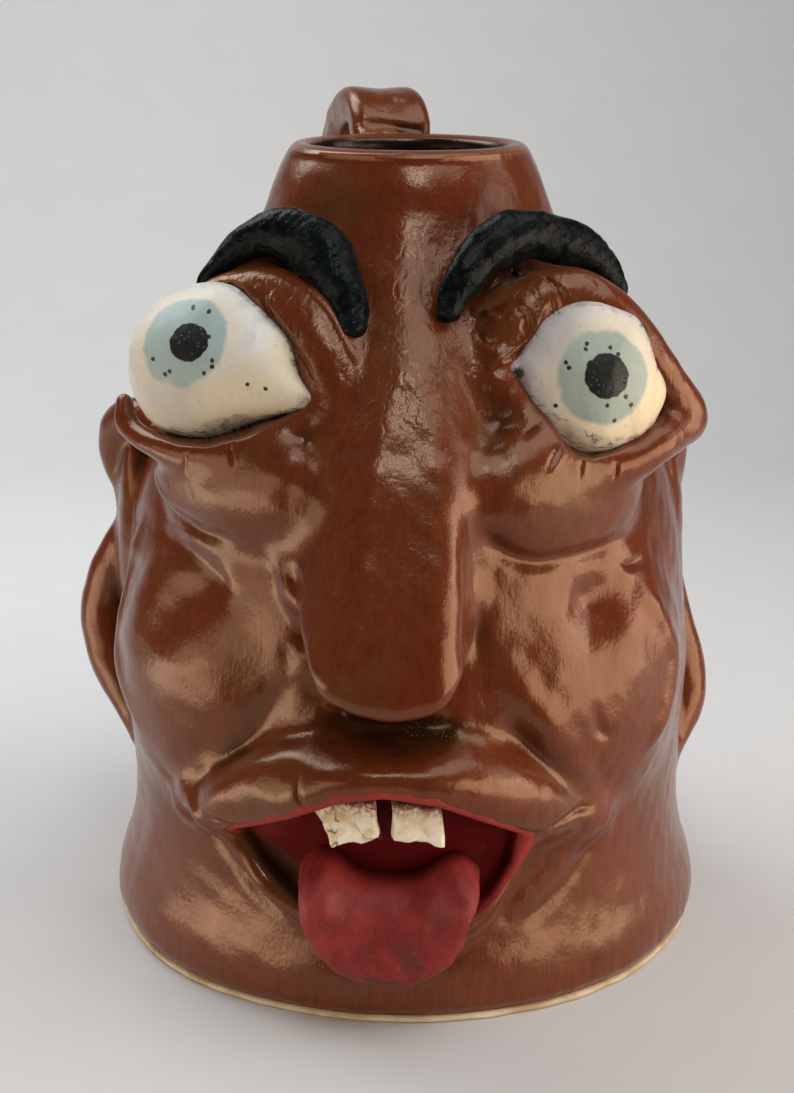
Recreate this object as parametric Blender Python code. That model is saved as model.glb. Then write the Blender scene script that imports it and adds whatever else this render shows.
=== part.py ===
"""Hand-built stoneware face jug: a thrown hollow wall on a slab base, with the face, ears and handle applied.

Frame: +Z up, origin at the centre of the flat base, the face looks along -Y. Scene units are metres, and
the shape tables below are in millimetres. Every applied piece is trimmed where it meets its neighbours,
with a slip joint of SLIP_GAP between the two.
"""

import math

import bmesh
import bpy
from mathutils import Matrix, Vector

MM = 0.001
SLIP_GAP = 0.3 * MM

# Driving dimensions
FOOT_RADIUS = 88.4
SLAB_THICKNESS = 7.0
BARE_FOOT = 2.6
WALL_THICKNESS = 6.5
RIM_HEIGHT = 229.0
MOUTH_RADIUS = 28.0
FACE_CENTRE_X = -6.0
EYE_RADIUS = 22.0
HANDLE_WIDTH = 24.0
HANDLE_THICKNESS = 11.0
HANDLE_TURN = math.radians(14)
HANDLE_CENTRE_X = 5.6
LATHE_STEPS = 56

# (radius, height) up the outside of the wall, over the rim's lip and down into the neck
WALL_OUTSIDE = [
    (87.2, BARE_FOOT + 0.3), (FOOT_RADIUS, 6), (87.6, 14), (84.6, 24), (82.6, 36), (82.6, 50), (83.6, 66),
    (83.6, 84), (81.6, 104), (78.4, 126), (72.0, 148), (62.5, 170), (51.5, 190), (41.4, 209), (37.4, 220),
    (34.6, 226),
]
RIM_LIP = [
    (33.0, RIM_HEIGHT - 1), (31.2, RIM_HEIGHT), (29.4, RIM_HEIGHT - 0.4), (MOUTH_RADIUS, RIM_HEIGHT - 2),
    (MOUTH_RADIUS, RIM_HEIGHT - 7),
]

# The handle's centre line in its own vertical plane: distance behind the jug's axis, height
HANDLE_LINE = [
    (30, 221), (39, 230), (50, 235.6), (66, 235), (84, 225), (97, 203), (101.5, 174), (99, 147), (92, 126),
    (82, 112), (70, 104),
]

EYES = {"left": Vector((-54, -38, 172)), "right": Vector((51, -42, 168))}
EYE_FACING = {"left": Vector((-0.34, -0.92, 0.18)), "right": Vector((0.22, -0.96, 0.10))}

# Rolls of clay about each eye: how far they stand forward of its centre, their radius about it, the angles
# they start and end at, and their half-thickness at the ends and in the middle
UPPER_LIDS = {"left": (1, 26, 8, 172, 2.6, 6.8), "right": (6, 25, 8, 172, 2.6, 6.8)}
LOWER_LIDS = {"left": (1, 25, 188, 352, 2.2, 4.6), "right": (6, 25, 188, 352, 2.4, 6.0)}

# Pads of clay on the wall: angle from the front, height, depth of the centre below the surface, and the
# pad's half-sizes along the wall, out of it and up
EYE_BAGS = {"left": (-38, 141, 2, (27, 11, 17)), "right": (37, 140, 2, (25, 11, 17))}
CHEEKS = {"left": (-56, 92, 10, (22, 17, 27)), "right": (52, 90, 10, (22, 18, 26))}

# Along each brow from its inner end: angle from the front, height, lift off the wall
BROWS = {
    "left": [(-13, 184, 7), (-21, 198, 8), (-32, 206, 9), (-46, 207, 10), (-57, 201, 12), (-64, 189, 14)],
    "right": [(12, 187, 7), (18, 198, 8), (30, 206, 9), (44, 207, 10), (56, 202, 12), (63, 190, 15)],
}
BROW_WIDTHS, BROW_HEIGHTS = (3.0, 7.5), (3.0, 6.0)

# The nose from top to bottom: height, half width, how far it stands off the wall
NOSE_SECTIONS = [
    (194, 7, 1.5), (178, 10, 7), (158, 14, 13), (136, 17, 18.5), (116, 20, 23), (103, 22, 26),
    (94, 21.5, 26), (89.5, 18, 22), (88, 13, 15),
]
NOSE_ROOT = 12.0
NOSE_LEAN = 0.02

# Each ear from top to bottom: height, how far it stands off the wall, with a waist between two lobes
EARS = {
    "left": [(154, 1), (147, 11), (136, 16), (124, 12), (117, 7), (107, 9), (93, 14), (81, 17), (68, 12),
             (57, 5), (52, 1)],
    "right": [(150, 1), (143, 7), (133, 9), (120, 6), (110, 4), (98, 4), (86, 7), (73, 11), (61, 12),
              (51, 7), (45, 1)],
}
EAR_ANGLES = {"left": -96, "right": 96}
EAR_HALF_THICKNESS = 7.0
EAR_ROOT = 5.0

# Along each lip: angle from the front, height, lift off the wall
UPPER_LIP = [(-37, 56, 4), (-30, 64, 5), (-18, 73, 6), (-5, 77, 6), (8, 74, 6), (19, 66, 5), (27, 57, 4)]
LOWER_LIP = [(-34, 47, 1), (-27, 36, 2), (-17, 27, 2), (-5, 23, 2), (8, 27, 2), (17, 36, 2), (24, 48, 1)]
UPPER_LIP_WIDTHS, UPPER_LIP_HEIGHTS = (3.0, 11.0), (3.5, 10.0)
LOWER_LIP_WIDTHS, LOWER_LIP_HEIGHTS = (3.0, 6.0), (3.5, 7.0)

# The open mouth's outline as (x, height), and how thick its red lining lies on the wall
MOUTH_OUTLINE = [(-47, 51), (-30, 62), (-8, 67), (14, 64), (32, 53), (25, 42), (17, 38), (-28, 38), (-39, 42)]
LINING_THICKNESS = 3.4

# The tongue's centre line from its root, as (y, height)
TONGUE_LINE = [(-79, 36), (-88, 38.5), (-96, 37.5), (-101, 31), (-101.5, 23), (-99.5, 15.5), (-97, 11.5)]
TONGUE_HALF_WIDTH, TONGUE_HALF_THICKNESS = 23.0, 4.6

# Each tooth: x, height, half width, tilt in degrees
TEETH = {"left": (-16.5, 56, 8, -6), "right": (3.0, 56, 7, 4)}
TOOTH_Y, TOOTH_HALF_THICKNESS, TOOTH_HALF_HEIGHT = -88.2, 1.9, 7.0


# ---- Shapes --------------------------------------------------------------------------------------


def clear_scene():
    for obj in list(bpy.data.objects):
        bpy.data.objects.remove(obj)


def make_material(name, colour, roughness):
    material = bpy.data.materials.new(name)
    material.use_nodes = True
    shader = material.node_tree.nodes["Principled BSDF"]
    shader.inputs["Base Color"].default_value = (*colour, 1.0)
    shader.inputs["Roughness"].default_value = roughness
    shader.inputs["Metallic"].default_value = 0.0
    return material


def wall_radius(height):
    """Outside radius of the wall at a height, between the profile's points, in millimetres."""
    if height <= WALL_OUTSIDE[0][1]:
        return WALL_OUTSIDE[0][0]
    for (r0, z0), (r1, z1) in zip(WALL_OUTSIDE, WALL_OUTSIDE[1:]):
        if height <= z1:
            return r0 + (r1 - r0) * (height - z0) / (z1 - z0)
    return WALL_OUTSIDE[-1][0]


def on_wall(angle, height, lift=0.0):
    """Point over the wall, at an angle in degrees from the front towards +X."""
    radius = wall_radius(height) + lift
    turn = math.radians(angle)
    return Vector((radius * math.sin(turn), -radius * math.cos(turn), height)) * MM


def smooth_path(points, steps):
    """Catmull-Rom curve through the points, with this many spans between each two."""
    ends = [2 * points[0] - points[1], *points, 2 * points[-1] - points[-2]]
    path = []
    for before, start, end, after in zip(ends, ends[1:], ends[2:], ends[3:]):
        for step in range(steps):
            t = step / steps
            path.append(
                0.5 * (2 * start + (end - before) * t + (2 * before - 5 * start + 4 * end - after) * t**2
                       + (3 * start - before - 3 * end + after) * t**3)
            )
    return [*path, points[-1]]


def swell(count, sizes):
    """Half-sizes along a roll of clay, from sizes[0] at its ends to sizes[1] in the middle."""
    thin, thick = sizes
    return [(thin + (thick - thin) * math.sin(math.pi * i / (count - 1)) ** 0.7) * MM for i in range(count)]


def superellipse(count, power):
    """Unit closed outline: power 2 is round, and higher powers are squarer."""
    points = []
    for k in range(count):
        c, s = math.cos(2 * math.pi * k / count), math.sin(2 * math.pi * k / count)
        points.append((math.copysign(abs(c) ** (2 / power), c), math.copysign(abs(s) ** (2 / power), s)))
    return points


def link_mesh(name, builder, material=None):
    """Makes the object. Without a material it is a cutter."""
    bmesh.ops.recalc_face_normals(builder, faces=builder.faces)
    if builder.calc_volume(signed=True) < 0:
        bmesh.ops.reverse_faces(builder, faces=builder.faces)
    mesh = bpy.data.meshes.new(name)
    builder.to_mesh(mesh)
    builder.free()
    mesh.shade_smooth()
    mesh.set_sharp_from_angle(angle=math.radians(40))
    obj = bpy.data.objects.new(name, mesh)
    bpy.context.scene.collection.objects.link(obj)
    if material:
        mesh.materials.append(material)
    else:
        obj.hide_render = True
        obj.display_type = "WIRE"
    return obj


def skin_rings(rings, close_rows=False):
    """A closed mesh through rings of equal size, with flat ends, or joined end to end into a ring of rings."""
    builder = bmesh.new()
    rows = [[builder.verts.new(point) for point in ring] for ring in rings]
    pairs = list(zip(rows, rows[1:])) + ([(rows[-1], rows[0])] if close_rows else [])
    for low, high in pairs:
        for i in range(len(low)):
            j = (i + 1) % len(low)
            builder.faces.new((low[i], low[j], high[j], high[i]))
    if not close_rows:
        builder.faces.new(rows[0])
        builder.faces.new(rows[-1])
    return builder


def turned(profile):
    """Rings about Z through a profile of (radius, height)."""
    turns = [2 * math.pi * k / LATHE_STEPS for k in range(LATHE_STEPS)]
    return [[Vector((r * math.cos(a), r * math.sin(a), z)) * MM for a in turns] for r, z in profile]


def roll(name, centres, outwards, widths, heights, material=None, grow=0.0, sides=12, power=2.0):
    """A roll of clay along a path. Its widths lie across the path, and its heights stand outwards."""
    outline = superellipse(sides, power)
    rings = []
    for i, centre in enumerate(centres):
        along = (centres[min(i + 1, len(centres) - 1)] - centres[max(i - 1, 0)]).normalized()
        across = along.cross(outwards[i]).normalized()
        out = across.cross(along).normalized()
        if i == 0:
            centre = centre - along * grow
        elif i == len(centres) - 1:
            centre = centre + along * grow
        wide, high = widths[i] + grow, heights[i] + grow
        rings.append([centre + across * (u * wide) + out * (v * high) for u, v in outline])
    return link_mesh(name, skin_rings(rings), material)


def ball(name, place, radii, material=None, grow=0.0, segments=24, rings=14):
    """An ellipsoid of clay, with its half-sizes in millimetres, at a placing matrix."""
    sizes = Matrix.Diagonal((*[r * MM + grow for r in radii], 1.0))
    builder = bmesh.new()
    bmesh.ops.create_uvsphere(builder, u_segments=segments, v_segments=rings, radius=1.0, matrix=place @ sizes)
    return link_mesh(name, builder, material)


def cut(obj, operation, tools):
    for tool in tools:
        modifier = obj.modifiers.new(operation.lower() + "_" + tool.name, "BOOLEAN")
        modifier.operation = operation
        modifier.solver = "EXACT"
        modifier.object = tool
    return obj


def trim(obj, *cutters):
    return cut(obj, "DIFFERENCE", cutters)


# ---- The vessel ----------------------------------------------------------------------------------


def build_wall(material):
    """The hollow wall as one closed ring: outside, lip, inside, and a foot stepped to sit round the slab."""
    inside = [(r - WALL_THICKNESS, z) for r, z in reversed(WALL_OUTSIDE[2:-2])]
    gap = SLIP_GAP / MM
    foot_inside = FOOT_RADIUS - WALL_THICKNESS
    floor = SLAB_THICKNESS + gap
    foot = [(foot_inside - 2, floor), (foot_inside, floor), (foot_inside, BARE_FOOT + gap)]
    rings = turned([*WALL_OUTSIDE, *RIM_LIP, *inside, *foot])
    return link_mesh("jug_wall", skin_rings(rings, close_rows=True), material)


def build_slab(material):
    """The base: a disc whose bare edge shows under the wall, stepped to sit inside it."""
    edge = FOOT_RADIUS - 1.4
    step = FOOT_RADIUS - WALL_THICKNESS - SLIP_GAP / MM
    profile = [(edge - 1.2, 0.0), (edge, 1.0), (edge, BARE_FOOT), (step, BARE_FOOT), (step, SLAB_THICKNESS)]
    return link_mesh("base_slab", skin_rings(turned(profile)), material)


def wall_envelope(name, offset):
    """The wall's outside as one closed solid that runs past both its ends, to trim applied pieces with."""
    shell = [(WALL_OUTSIDE[0][0], -20), *WALL_OUTSIDE, (RIM_LIP[0][0], RIM_HEIGHT + 11)]
    return link_mesh(name, skin_rings(turned([(r + offset, z) for r, z in shell])))


def build_handle(material):
    """A strap from the neck, up, over and down to the back of the belly."""
    turn = Matrix.Translation((HANDLE_CENTRE_X * MM, 0, 0)) @ Matrix.Rotation(HANDLE_TURN, 4, "Z")
    path = smooth_path([turn @ (Vector((0, y, z)) * MM) for y, z in HANDLE_LINE], 3)
    middle = turn @ (Vector((0, 60, 175)) * MM)
    outwards = [point - middle for point in path]
    widths = [HANDLE_WIDTH / 2 * MM] * len(path)
    heights = [HANDLE_THICKNESS / 2 * MM] * len(path)
    return roll("handle", path, outwards, widths, heights, material, sides=16, power=3.6)


# ---- The eyes ------------------------------------------------------------------------------------


def build_eye(name, side, material=None, grow=0.0):
    return ball(name, Matrix.Translation(EYES[side] * MM), [EYE_RADIUS] * 3, material, grow)


def build_lid(name, side, ring, material=None, grow=0.0):
    """A roll along an arc about the eye, its angles from +X anticlockwise as seen from the front."""
    forward, radius, start, end, thin, thick = ring
    facing = EYE_FACING[side].normalized()
    right = Vector((0, 0, 1)).cross(facing).normalized()
    up = facing.cross(right)
    centre = EYES[side] + facing * forward
    steps = 14
    path = []
    for i in range(steps + 1):
        a = math.radians(start + (end - start) * i / steps)
        path.append((centre + (right * math.cos(a) + up * math.sin(a)) * radius) * MM)
    outwards = [point - EYES[side] * MM for point in path]
    sizes = swell(len(path), (thin, thick))
    return roll(name, path, outwards, sizes, sizes, material, grow, sides=10)


def build_pad(name, pad, material=None, grow=0.0):
    """A flattened ball of clay pressed on the wall, for an eye bag or a cheek."""
    angle, height, depth, radii = pad
    place = Matrix.Translation(on_wall(angle, height, -depth)) @ Matrix.Rotation(math.radians(angle), 4, "Z")
    return ball(name, place, radii, material, grow, segments=20, rings=12)


def build_brow(name, side, material=None, grow=0.0):
    """A thick black roll, arched over the eye."""
    path = smooth_path([on_wall(*point) for point in BROWS[side]], 3)
    outwards = [Vector((point.x, point.y, 0.35 * point.length)) for point in path]
    widths, heights = swell(len(path), BROW_WIDTHS), swell(len(path), BROW_HEIGHTS)
    return roll(name, path, outwards, widths, heights, material, grow)


# ---- The nose and the ears -------------------------------------------------------------------------


def build_nose(name, material=None, grow=0.0):
    """A wedge that widens and stands out further towards its tip, with a rounded, undercut bottom."""
    outline = superellipse(22, 2.8)
    last = len(NOSE_SECTIONS) - 1
    rings = []
    for i, (height, half_width, stand) in enumerate(NOSE_SECTIONS):
        back = (NOSE_ROOT - wall_radius(height)) * MM
        front = (-stand - wall_radius(height)) * MM - grow
        level = height * MM + {0: grow, last: -grow}.get(i, 0.0)
        x = (FACE_CENTRE_X - NOSE_LEAN * (NOSE_SECTIONS[0][0] - height)) * MM
        rings.append([
            Vector((x + u * (half_width * MM + grow), (back + front) / 2 + v * (back - front) / 2, level))
            for u, v in outline
        ])
    return link_mesh(name, skin_rings(rings), material)


def build_ear(name, side, material):
    outline = superellipse(12, 2.0)
    turn = math.radians(EAR_ANGLES[side])
    out = Vector((math.sin(turn), -math.cos(turn), 0))
    along = Vector((math.cos(turn), math.sin(turn), 0))
    rings = []
    for height, stand in EARS[side]:
        reach = (stand + EAR_ROOT) / 2
        middle = out * (wall_radius(height) - EAR_ROOT + reach) + Vector((0, 0, height))
        rings.append([(middle + out * (u * reach) + along * (v * EAR_HALF_THICKNESS)) * MM for u, v in outline])
    return link_mesh(name, skin_rings(rings), material)


# ---- The mouth -----------------------------------------------------------------------------------


def build_lip(name, points, widths, heights, material=None, grow=0.0):
    path = smooth_path([on_wall(*point) for point in points], 2)
    outwards = [Vector((point.x, point.y, 0.0)) for point in path]
    count = len(path)
    return roll(name, path, outwards, swell(count, widths), swell(count, heights), material, grow)


def build_mouth_lining(material):
    """The red back of the mouth: a thin pad that follows the wall inside the mouth's outline."""
    rings = [[Vector((x, y, z)) * MM for x, z in MOUTH_OUTLINE] for y in (-100, -60)]
    lining = link_mesh("mouth_lining", skin_rings(rings), material)
    return cut(lining, "INTERSECT", [wall_envelope("lining_limit", LINING_THICKNESS)])


def build_tongue(name, material=None, grow=0.0):
    """A flat roll that comes out over the lower lip and hangs down the wall, thinning to a round tip."""
    path = smooth_path([Vector((FACE_CENTRE_X, y, z)) * MM for y, z in TONGUE_LINE], 2)
    outwards = [Vector((0, -1, 0.6))] * len(path)
    tip_start, tip_length = 0.72, 0.3
    widths, heights = [], []
    for i in range(len(path)):
        into_tip = max(0.0, (i / (len(path) - 1) - tip_start) / tip_length)
        roundness = math.sqrt(1 - into_tip**2)
        widths.append(TONGUE_HALF_WIDTH * roundness * MM)
        heights.append(TONGUE_HALF_THICKNESS * (0.45 + 0.55 * roundness) * MM)
    return roll(name, path, outwards, widths, heights, material, grow, sides=14, power=2.6)


def build_tooth(name, side, material=None, grow=0.0):
    """A flat shard with softened corners, hung from the upper lip and leaning back a little."""
    x, height, half_width, tilt = TEETH[side]
    sizes = [half_width, TOOTH_HALF_THICKNESS, TOOTH_HALF_HEIGHT]
    place = Matrix.Translation(Vector((x, TOOTH_Y, height)) * MM)
    turn = Matrix.Rotation(math.radians(tilt), 4, "Y") @ Matrix.Rotation(math.radians(-8), 4, "X")
    builder = bmesh.new()
    scale = Matrix.Diagonal((*[size * MM + grow for size in sizes], 1.0))
    bmesh.ops.create_cube(builder, size=2.0, matrix=place @ turn @ scale)
    bmesh.ops.bevel(builder, geom=builder.edges[:], offset=0.8 * MM, segments=1, affect="EDGES")
    return link_mesh(name, builder, material)


# ---- The assembly --------------------------------------------------------------------------------


def build_face_side(side, skin, nose_cutter, materials):
    """One eye with its lids, bag, brow, cheek and ear."""
    brown, white, black = materials
    eye_cutter = build_eye(side + "_eye_cutter", side, grow=SLIP_GAP)
    upper_cutter = build_lid(side + "_upper_lid_cutter", side, UPPER_LIDS[side], grow=SLIP_GAP)
    lower_cutter = build_lid(side + "_lower_lid_cutter", side, LOWER_LIDS[side], grow=SLIP_GAP)

    trim(build_eye(side + "_eyeball", side, white), skin)
    trim(build_lid(side + "_upper_lid", side, UPPER_LIDS[side], brown), skin, eye_cutter, nose_cutter)
    trim(build_lid(side + "_lower_lid", side, LOWER_LIDS[side], brown), skin, eye_cutter, nose_cutter)
    trim(build_brow(side + "_brow", side, black), skin, upper_cutter, eye_cutter, nose_cutter)
    trim(build_pad(side + "_eye_bag", EYE_BAGS[side], brown), skin, eye_cutter, lower_cutter, nose_cutter)
    trim(build_pad(side + "_cheek", CHEEKS[side], brown), skin)
    trim(build_ear(side + "_ear", side, brown), skin)


def build_mouth(skin, nose_cutter, materials):
    """The lips, the lining behind them, the tongue and the teeth."""
    brown, red, china = materials
    upper_lip = (UPPER_LIP, UPPER_LIP_WIDTHS, UPPER_LIP_HEIGHTS)
    lower_lip = (LOWER_LIP, LOWER_LIP_WIDTHS, LOWER_LIP_HEIGHTS)
    upper_cutter = build_lip("upper_lip_cutter", *upper_lip, grow=SLIP_GAP)
    lower_cutter = build_lip("lower_lip_cutter", *lower_lip, grow=SLIP_GAP)
    tongue_cutter = build_tongue("tongue_cutter", grow=SLIP_GAP)
    tooth_cutters = [build_tooth(side + "_tooth_cutter", side, grow=SLIP_GAP) for side in TEETH]

    trim(build_lip("upper_lip", *upper_lip, brown), skin, nose_cutter)
    trim(build_lip("lower_lip", *lower_lip, brown), skin, upper_cutter, tongue_cutter)
    trim(build_tongue("tongue", red), skin, upper_cutter)
    for side in TEETH:
        trim(build_tooth(side + "_tooth", side, china), skin, upper_cutter)
    trim(build_mouth_lining(red), skin, upper_cutter, lower_cutter, tongue_cutter, *tooth_cutters)


def main():
    clear_scene()
    brown = make_material("brown_glaze", (0.16, 0.045, 0.022), 0.25)
    cream = make_material("bare_clay", (0.80, 0.72, 0.55), 0.85)
    white = make_material("eye_glaze", (0.78, 0.72, 0.58), 0.6)
    black = make_material("black_slip", (0.012, 0.014, 0.015), 0.6)
    red = make_material("red_slip", (0.38, 0.02, 0.025), 0.65)
    china = make_material("tooth_china", (0.85, 0.80, 0.62), 0.6)

    build_wall(brown)
    build_slab(cream)
    skin = wall_envelope("wall_envelope", SLIP_GAP / MM)
    trim(build_handle(brown), skin)
    nose_cutter = build_nose("nose_cutter", grow=SLIP_GAP)
    trim(build_nose("nose", brown), skin)
    for side in EYES:
        build_face_side(side, skin, nose_cutter, (brown, white, black))
    build_mouth(skin, nose_cutter, (brown, red, china))


main()
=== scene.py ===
"""Looks of the stoneware face jug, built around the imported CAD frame.

The clay is modelled as distance fields in millimetres: lumps, rolls and pads are pressed together with
smooth joins, and folds are worked in. Each piece of the jug is then skinned out of that one clay surface,
so neighbouring pieces meet as a potter's slipped joint does. Frame: +Z up, the face looks along -Y.
"""

import functools
import math

import bpy
import numpy as np
from mathutils import Matrix, Vector


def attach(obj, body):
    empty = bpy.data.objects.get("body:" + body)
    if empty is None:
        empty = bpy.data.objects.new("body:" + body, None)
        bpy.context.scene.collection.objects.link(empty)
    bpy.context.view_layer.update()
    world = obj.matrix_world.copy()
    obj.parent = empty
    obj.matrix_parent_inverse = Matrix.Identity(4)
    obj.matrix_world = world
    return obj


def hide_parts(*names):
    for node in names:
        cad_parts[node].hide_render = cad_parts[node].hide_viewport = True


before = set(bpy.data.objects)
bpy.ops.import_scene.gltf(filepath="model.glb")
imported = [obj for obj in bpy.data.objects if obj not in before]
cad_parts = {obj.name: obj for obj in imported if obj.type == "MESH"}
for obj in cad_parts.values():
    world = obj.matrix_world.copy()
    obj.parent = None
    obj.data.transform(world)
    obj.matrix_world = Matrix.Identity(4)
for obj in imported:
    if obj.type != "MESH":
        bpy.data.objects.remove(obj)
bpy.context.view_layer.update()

MM = 0.001
COARSE = 1.0

# ---- Sizes of the vessel, in millimetres ----

WALL_THICKNESS = 6.5
RIM_TOP = 228.9
FOOT_RADIUS = 88.4
SLAB_TOP = 7.0
BARE_FOOT = 1.9  # height of the slab's edge that shows below the glaze
GAP = 0.3
WALL_OUTSIDE = [
    (86.6, 2.4), (88.4, 6), (87.6, 14), (84.6, 24), (82.6, 36), (82.6, 50), (83.6, 66), (83.6, 84),
    (81.6, 104), (78.4, 126), (72.0, 148), (62.5, 170), (51.5, 190), (41.4, 209), (37.4, 220), (34.6, 226),
]
RIM_LIP = [(33.3, 227.9), (31.6, 228.9), (29.8, 228.7), (28.5, 227.6), (28.0, 225.8), (28.0, 222.0)]
LIP_CREST_ROWS = 11  # rows of the lip, from outside, that are glazed like the outside
CLEAR_OPENING = 31.0  # no applied piece comes nearer to the axis

# ---- Distance fields ----

REACH = 14.0  # how far from a lump its distance is still needed
FAR = 30.0


def dots(a, b):
    return np.einsum("ij,ij->i", a, b)


def lengths(v):
    return np.sqrt(dots(v, v))


def unit(v):
    v = np.asarray(v, float)
    return v / np.linalg.norm(v, axis=-1, keepdims=True)


def smooth_min(a, b, blend):
    near = np.maximum(blend - np.abs(a - b), 0) / blend
    return np.minimum(a, b) - near * near * blend / 4


def smooth_max(a, b, blend):
    return -smooth_min(-a, -b, blend)


def ease(x, low, high):
    """0 below low, 1 above high, and a smooth step between."""
    t = np.clip((x - low) / (high - low), 0, 1)
    return t * t * (3 - 2 * t)


def unevenness(points, size, seed, waves=9):
    """Smooth hand-made unevenness of about this size in millimetres, roughly from -1 to 1."""
    rng = np.random.default_rng(seed)
    total = np.zeros(len(points))
    for _ in range(waves):
        wave = unit(rng.normal(size=3)) * 2 * math.pi / size * rng.uniform(0.6, 1.5)
        total += np.sin(points @ wave + rng.uniform(0, 2 * math.pi))
    return total / math.sqrt(waves) / 1.4


def smooth_rows(rows, steps):
    """Catmull-Rom through the rows of a table, with this many spans between each two."""
    rows = np.array(rows, float)
    ends = np.vstack([2 * rows[0] - rows[1], rows, 2 * rows[-1] - rows[-2]])
    out = []
    for before, start, end, after in zip(ends, ends[1:], ends[2:], ends[3:]):
        square = 2 * before - 5 * start + 4 * end - after
        cube = 3 * start - before - 3 * end + after
        for t in np.arange(steps) / steps:
            out.append(0.5 * (2 * start + (end - before) * t + square * t**2 + cube * t**3))
    return np.vstack([*out, rows[-1]])


PROFILE = smooth_rows([(z, r) for r, z in WALL_OUTSIDE], 6)
PROFILE = PROFILE[np.argsort(PROFILE[:, 0])]


def wall_radius(height):
    return np.interp(height, PROFILE[:, 0], PROFILE[:, 1])


def on_wall(angle, height, lift=0.0):
    """Point over the wall, at an angle in degrees from the front towards +X."""
    radius = wall_radius(height) + lift
    turn = math.radians(angle)
    return np.array([radius * math.sin(turn), -radius * math.cos(turn), height])


def wall_distance(points):
    radius = np.hypot(points[:, 0], points[:, 1])
    slope = (wall_radius(points[:, 2] + 2) - wall_radius(points[:, 2] - 2)) / 4
    side = (radius - wall_radius(points[:, 2]) - 0.5 * unevenness(points, 70, 3)) / np.sqrt(1 + slope**2)
    return np.maximum(side, points[:, 2] - RIM_TOP)


class Lump:
    """A piece of clay: its distance function, the box it lies in, and how wide it blends into the rest."""

    def __init__(self, distance, low, high, blend):
        self.distance, self.blend = distance, blend
        self.low, self.high = np.asarray(low, float), np.asarray(high, float)

    def measure(self, points):
        near = ((points > self.low - REACH) & (points < self.high + REACH)).all(axis=1)
        found = np.full(len(points), FAR)
        if near.any():
            found[near] = self.distance(points[near])
        return found


class Path:
    """A smooth line through rows of numbers that start with x, y, z, and the frame that follows it."""

    def __init__(self, rows, outward=None, around=None):
        self.rows = smooth_rows(rows, 8)
        self.points = self.rows[:, :3]
        along = unit(np.gradient(self.points, axis=0))
        if around is not None:
            out = self.points - np.asarray(around, float)
        elif outward is not None:
            out = np.tile(np.asarray(outward, float), (len(along), 1))
        else:
            out = self.points * (1, 1, 0)
        self.along = along
        self.side = unit(np.cross(along, out))
        self.out = np.cross(self.side, along)

    def nearest(self, points):
        """For each point: its offset from the nearest place on the line, the rows there, and an index."""
        index = np.argmin((self.points**2).sum(axis=1) - 2 * points @ self.points.T, axis=1)
        best = None
        for start in (np.maximum(index - 1, 0), np.minimum(index, len(self.points) - 2)):
            span = self.points[start + 1] - self.points[start]
            offset = points - self.points[start]
            t = np.clip(dots(offset, span) / dots(span, span), 0, 1)[:, None]
            offset = offset - t * span
            rows = self.rows[start] * (1 - t) + self.rows[start + 1] * t
            if best is None:
                best, best_rows = offset, rows
            else:
                nearer = lengths(offset) < lengths(best)
                best[nearer], best_rows[nearer] = offset[nearer], rows[nearer]
        return best, best_rows, index

    def in_frame(self, offset, index):
        """The offset's parts to the side, outward and along."""
        return [dots(offset, axis[index]) for axis in (self.side, self.out, self.along)]

    def lump(self, distance, blend):
        """A lump about the line, as far as its widest number reaches."""
        most = self.rows[:, 3:].max()
        return Lump(distance, self.points.min(axis=0) - most, self.points.max(axis=0) + most, blend)


def rounded(rounding, *sides):
    """Distance to where all of these signed distances are negative, with the edges rounded."""
    inner = np.stack(sides, 1) + rounding
    return lengths(np.maximum(inner, 0)) + np.minimum(inner.max(axis=1), 0) - rounding


def roll(rows, blend):
    """A roll through rows of (x, y, z, half width) or (x, y, z, half width, half thickness)."""
    path = Path(rows)

    def distance(points):
        offset, at, index = path.nearest(points)
        if at.shape[1] == 4:
            return lengths(offset) - at[:, 3]
        half_sizes = at[:, [3, 4, 4]]
        local = np.stack(path.in_frame(offset, index), 1) / half_sizes
        near = lengths(local)
        return near * (near - 1) / np.maximum(lengths(local / half_sizes), 1e-6)

    return path.lump(distance, blend)


def strap(rows, blend, rounding, dip, around):
    """A flat strap with rounded corners and a shallow channel along its outer face."""
    path = Path(rows, around=around)

    def distance(points):
        offset, at, index = path.nearest(points)
        u, v, w = path.in_frame(offset, index)
        u = np.abs(u)
        channel = dip * np.exp(-((u / (0.5 * at[:, 3])) ** 2)) * (v > 0)
        a, b = u - at[:, 3] + rounding, np.abs(v) + channel - at[:, 4] + rounding
        outer = np.sqrt(np.maximum(a, 0) ** 2 + np.maximum(b, 0) ** 2 + w**2)
        return outer + np.minimum(np.maximum(a, b), 0) - rounding

    return path.lump(distance, blend)


def pad(centre, radii, blend, turn=0.0):
    """An ellipsoid, turned about Z by this many degrees."""
    centre, radii = np.asarray(centre, float), np.asarray(radii, float)
    spin = np.array(Matrix.Rotation(math.radians(turn), 3, "Z"))

    def distance(points):
        local = (points - centre) @ spin
        near = lengths(local / radii)
        return near * (near - 1) / np.maximum(lengths(local / radii**2), 1e-6)

    return Lump(distance, centre - radii.max(), centre + radii.max(), blend)


def joined(first, *others, blend):
    """Lumps worked into one."""
    def distance(points):
        total = first.measure(points)
        for other in others:
            total = smooth_min(total, other.measure(points), blend)
        return total

    lows = [lump.low for lump in (first, *others)]
    highs = [lump.high for lump in (first, *others)]
    return Lump(distance, np.min(lows, axis=0), np.max(highs, axis=0), first.blend)


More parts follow.
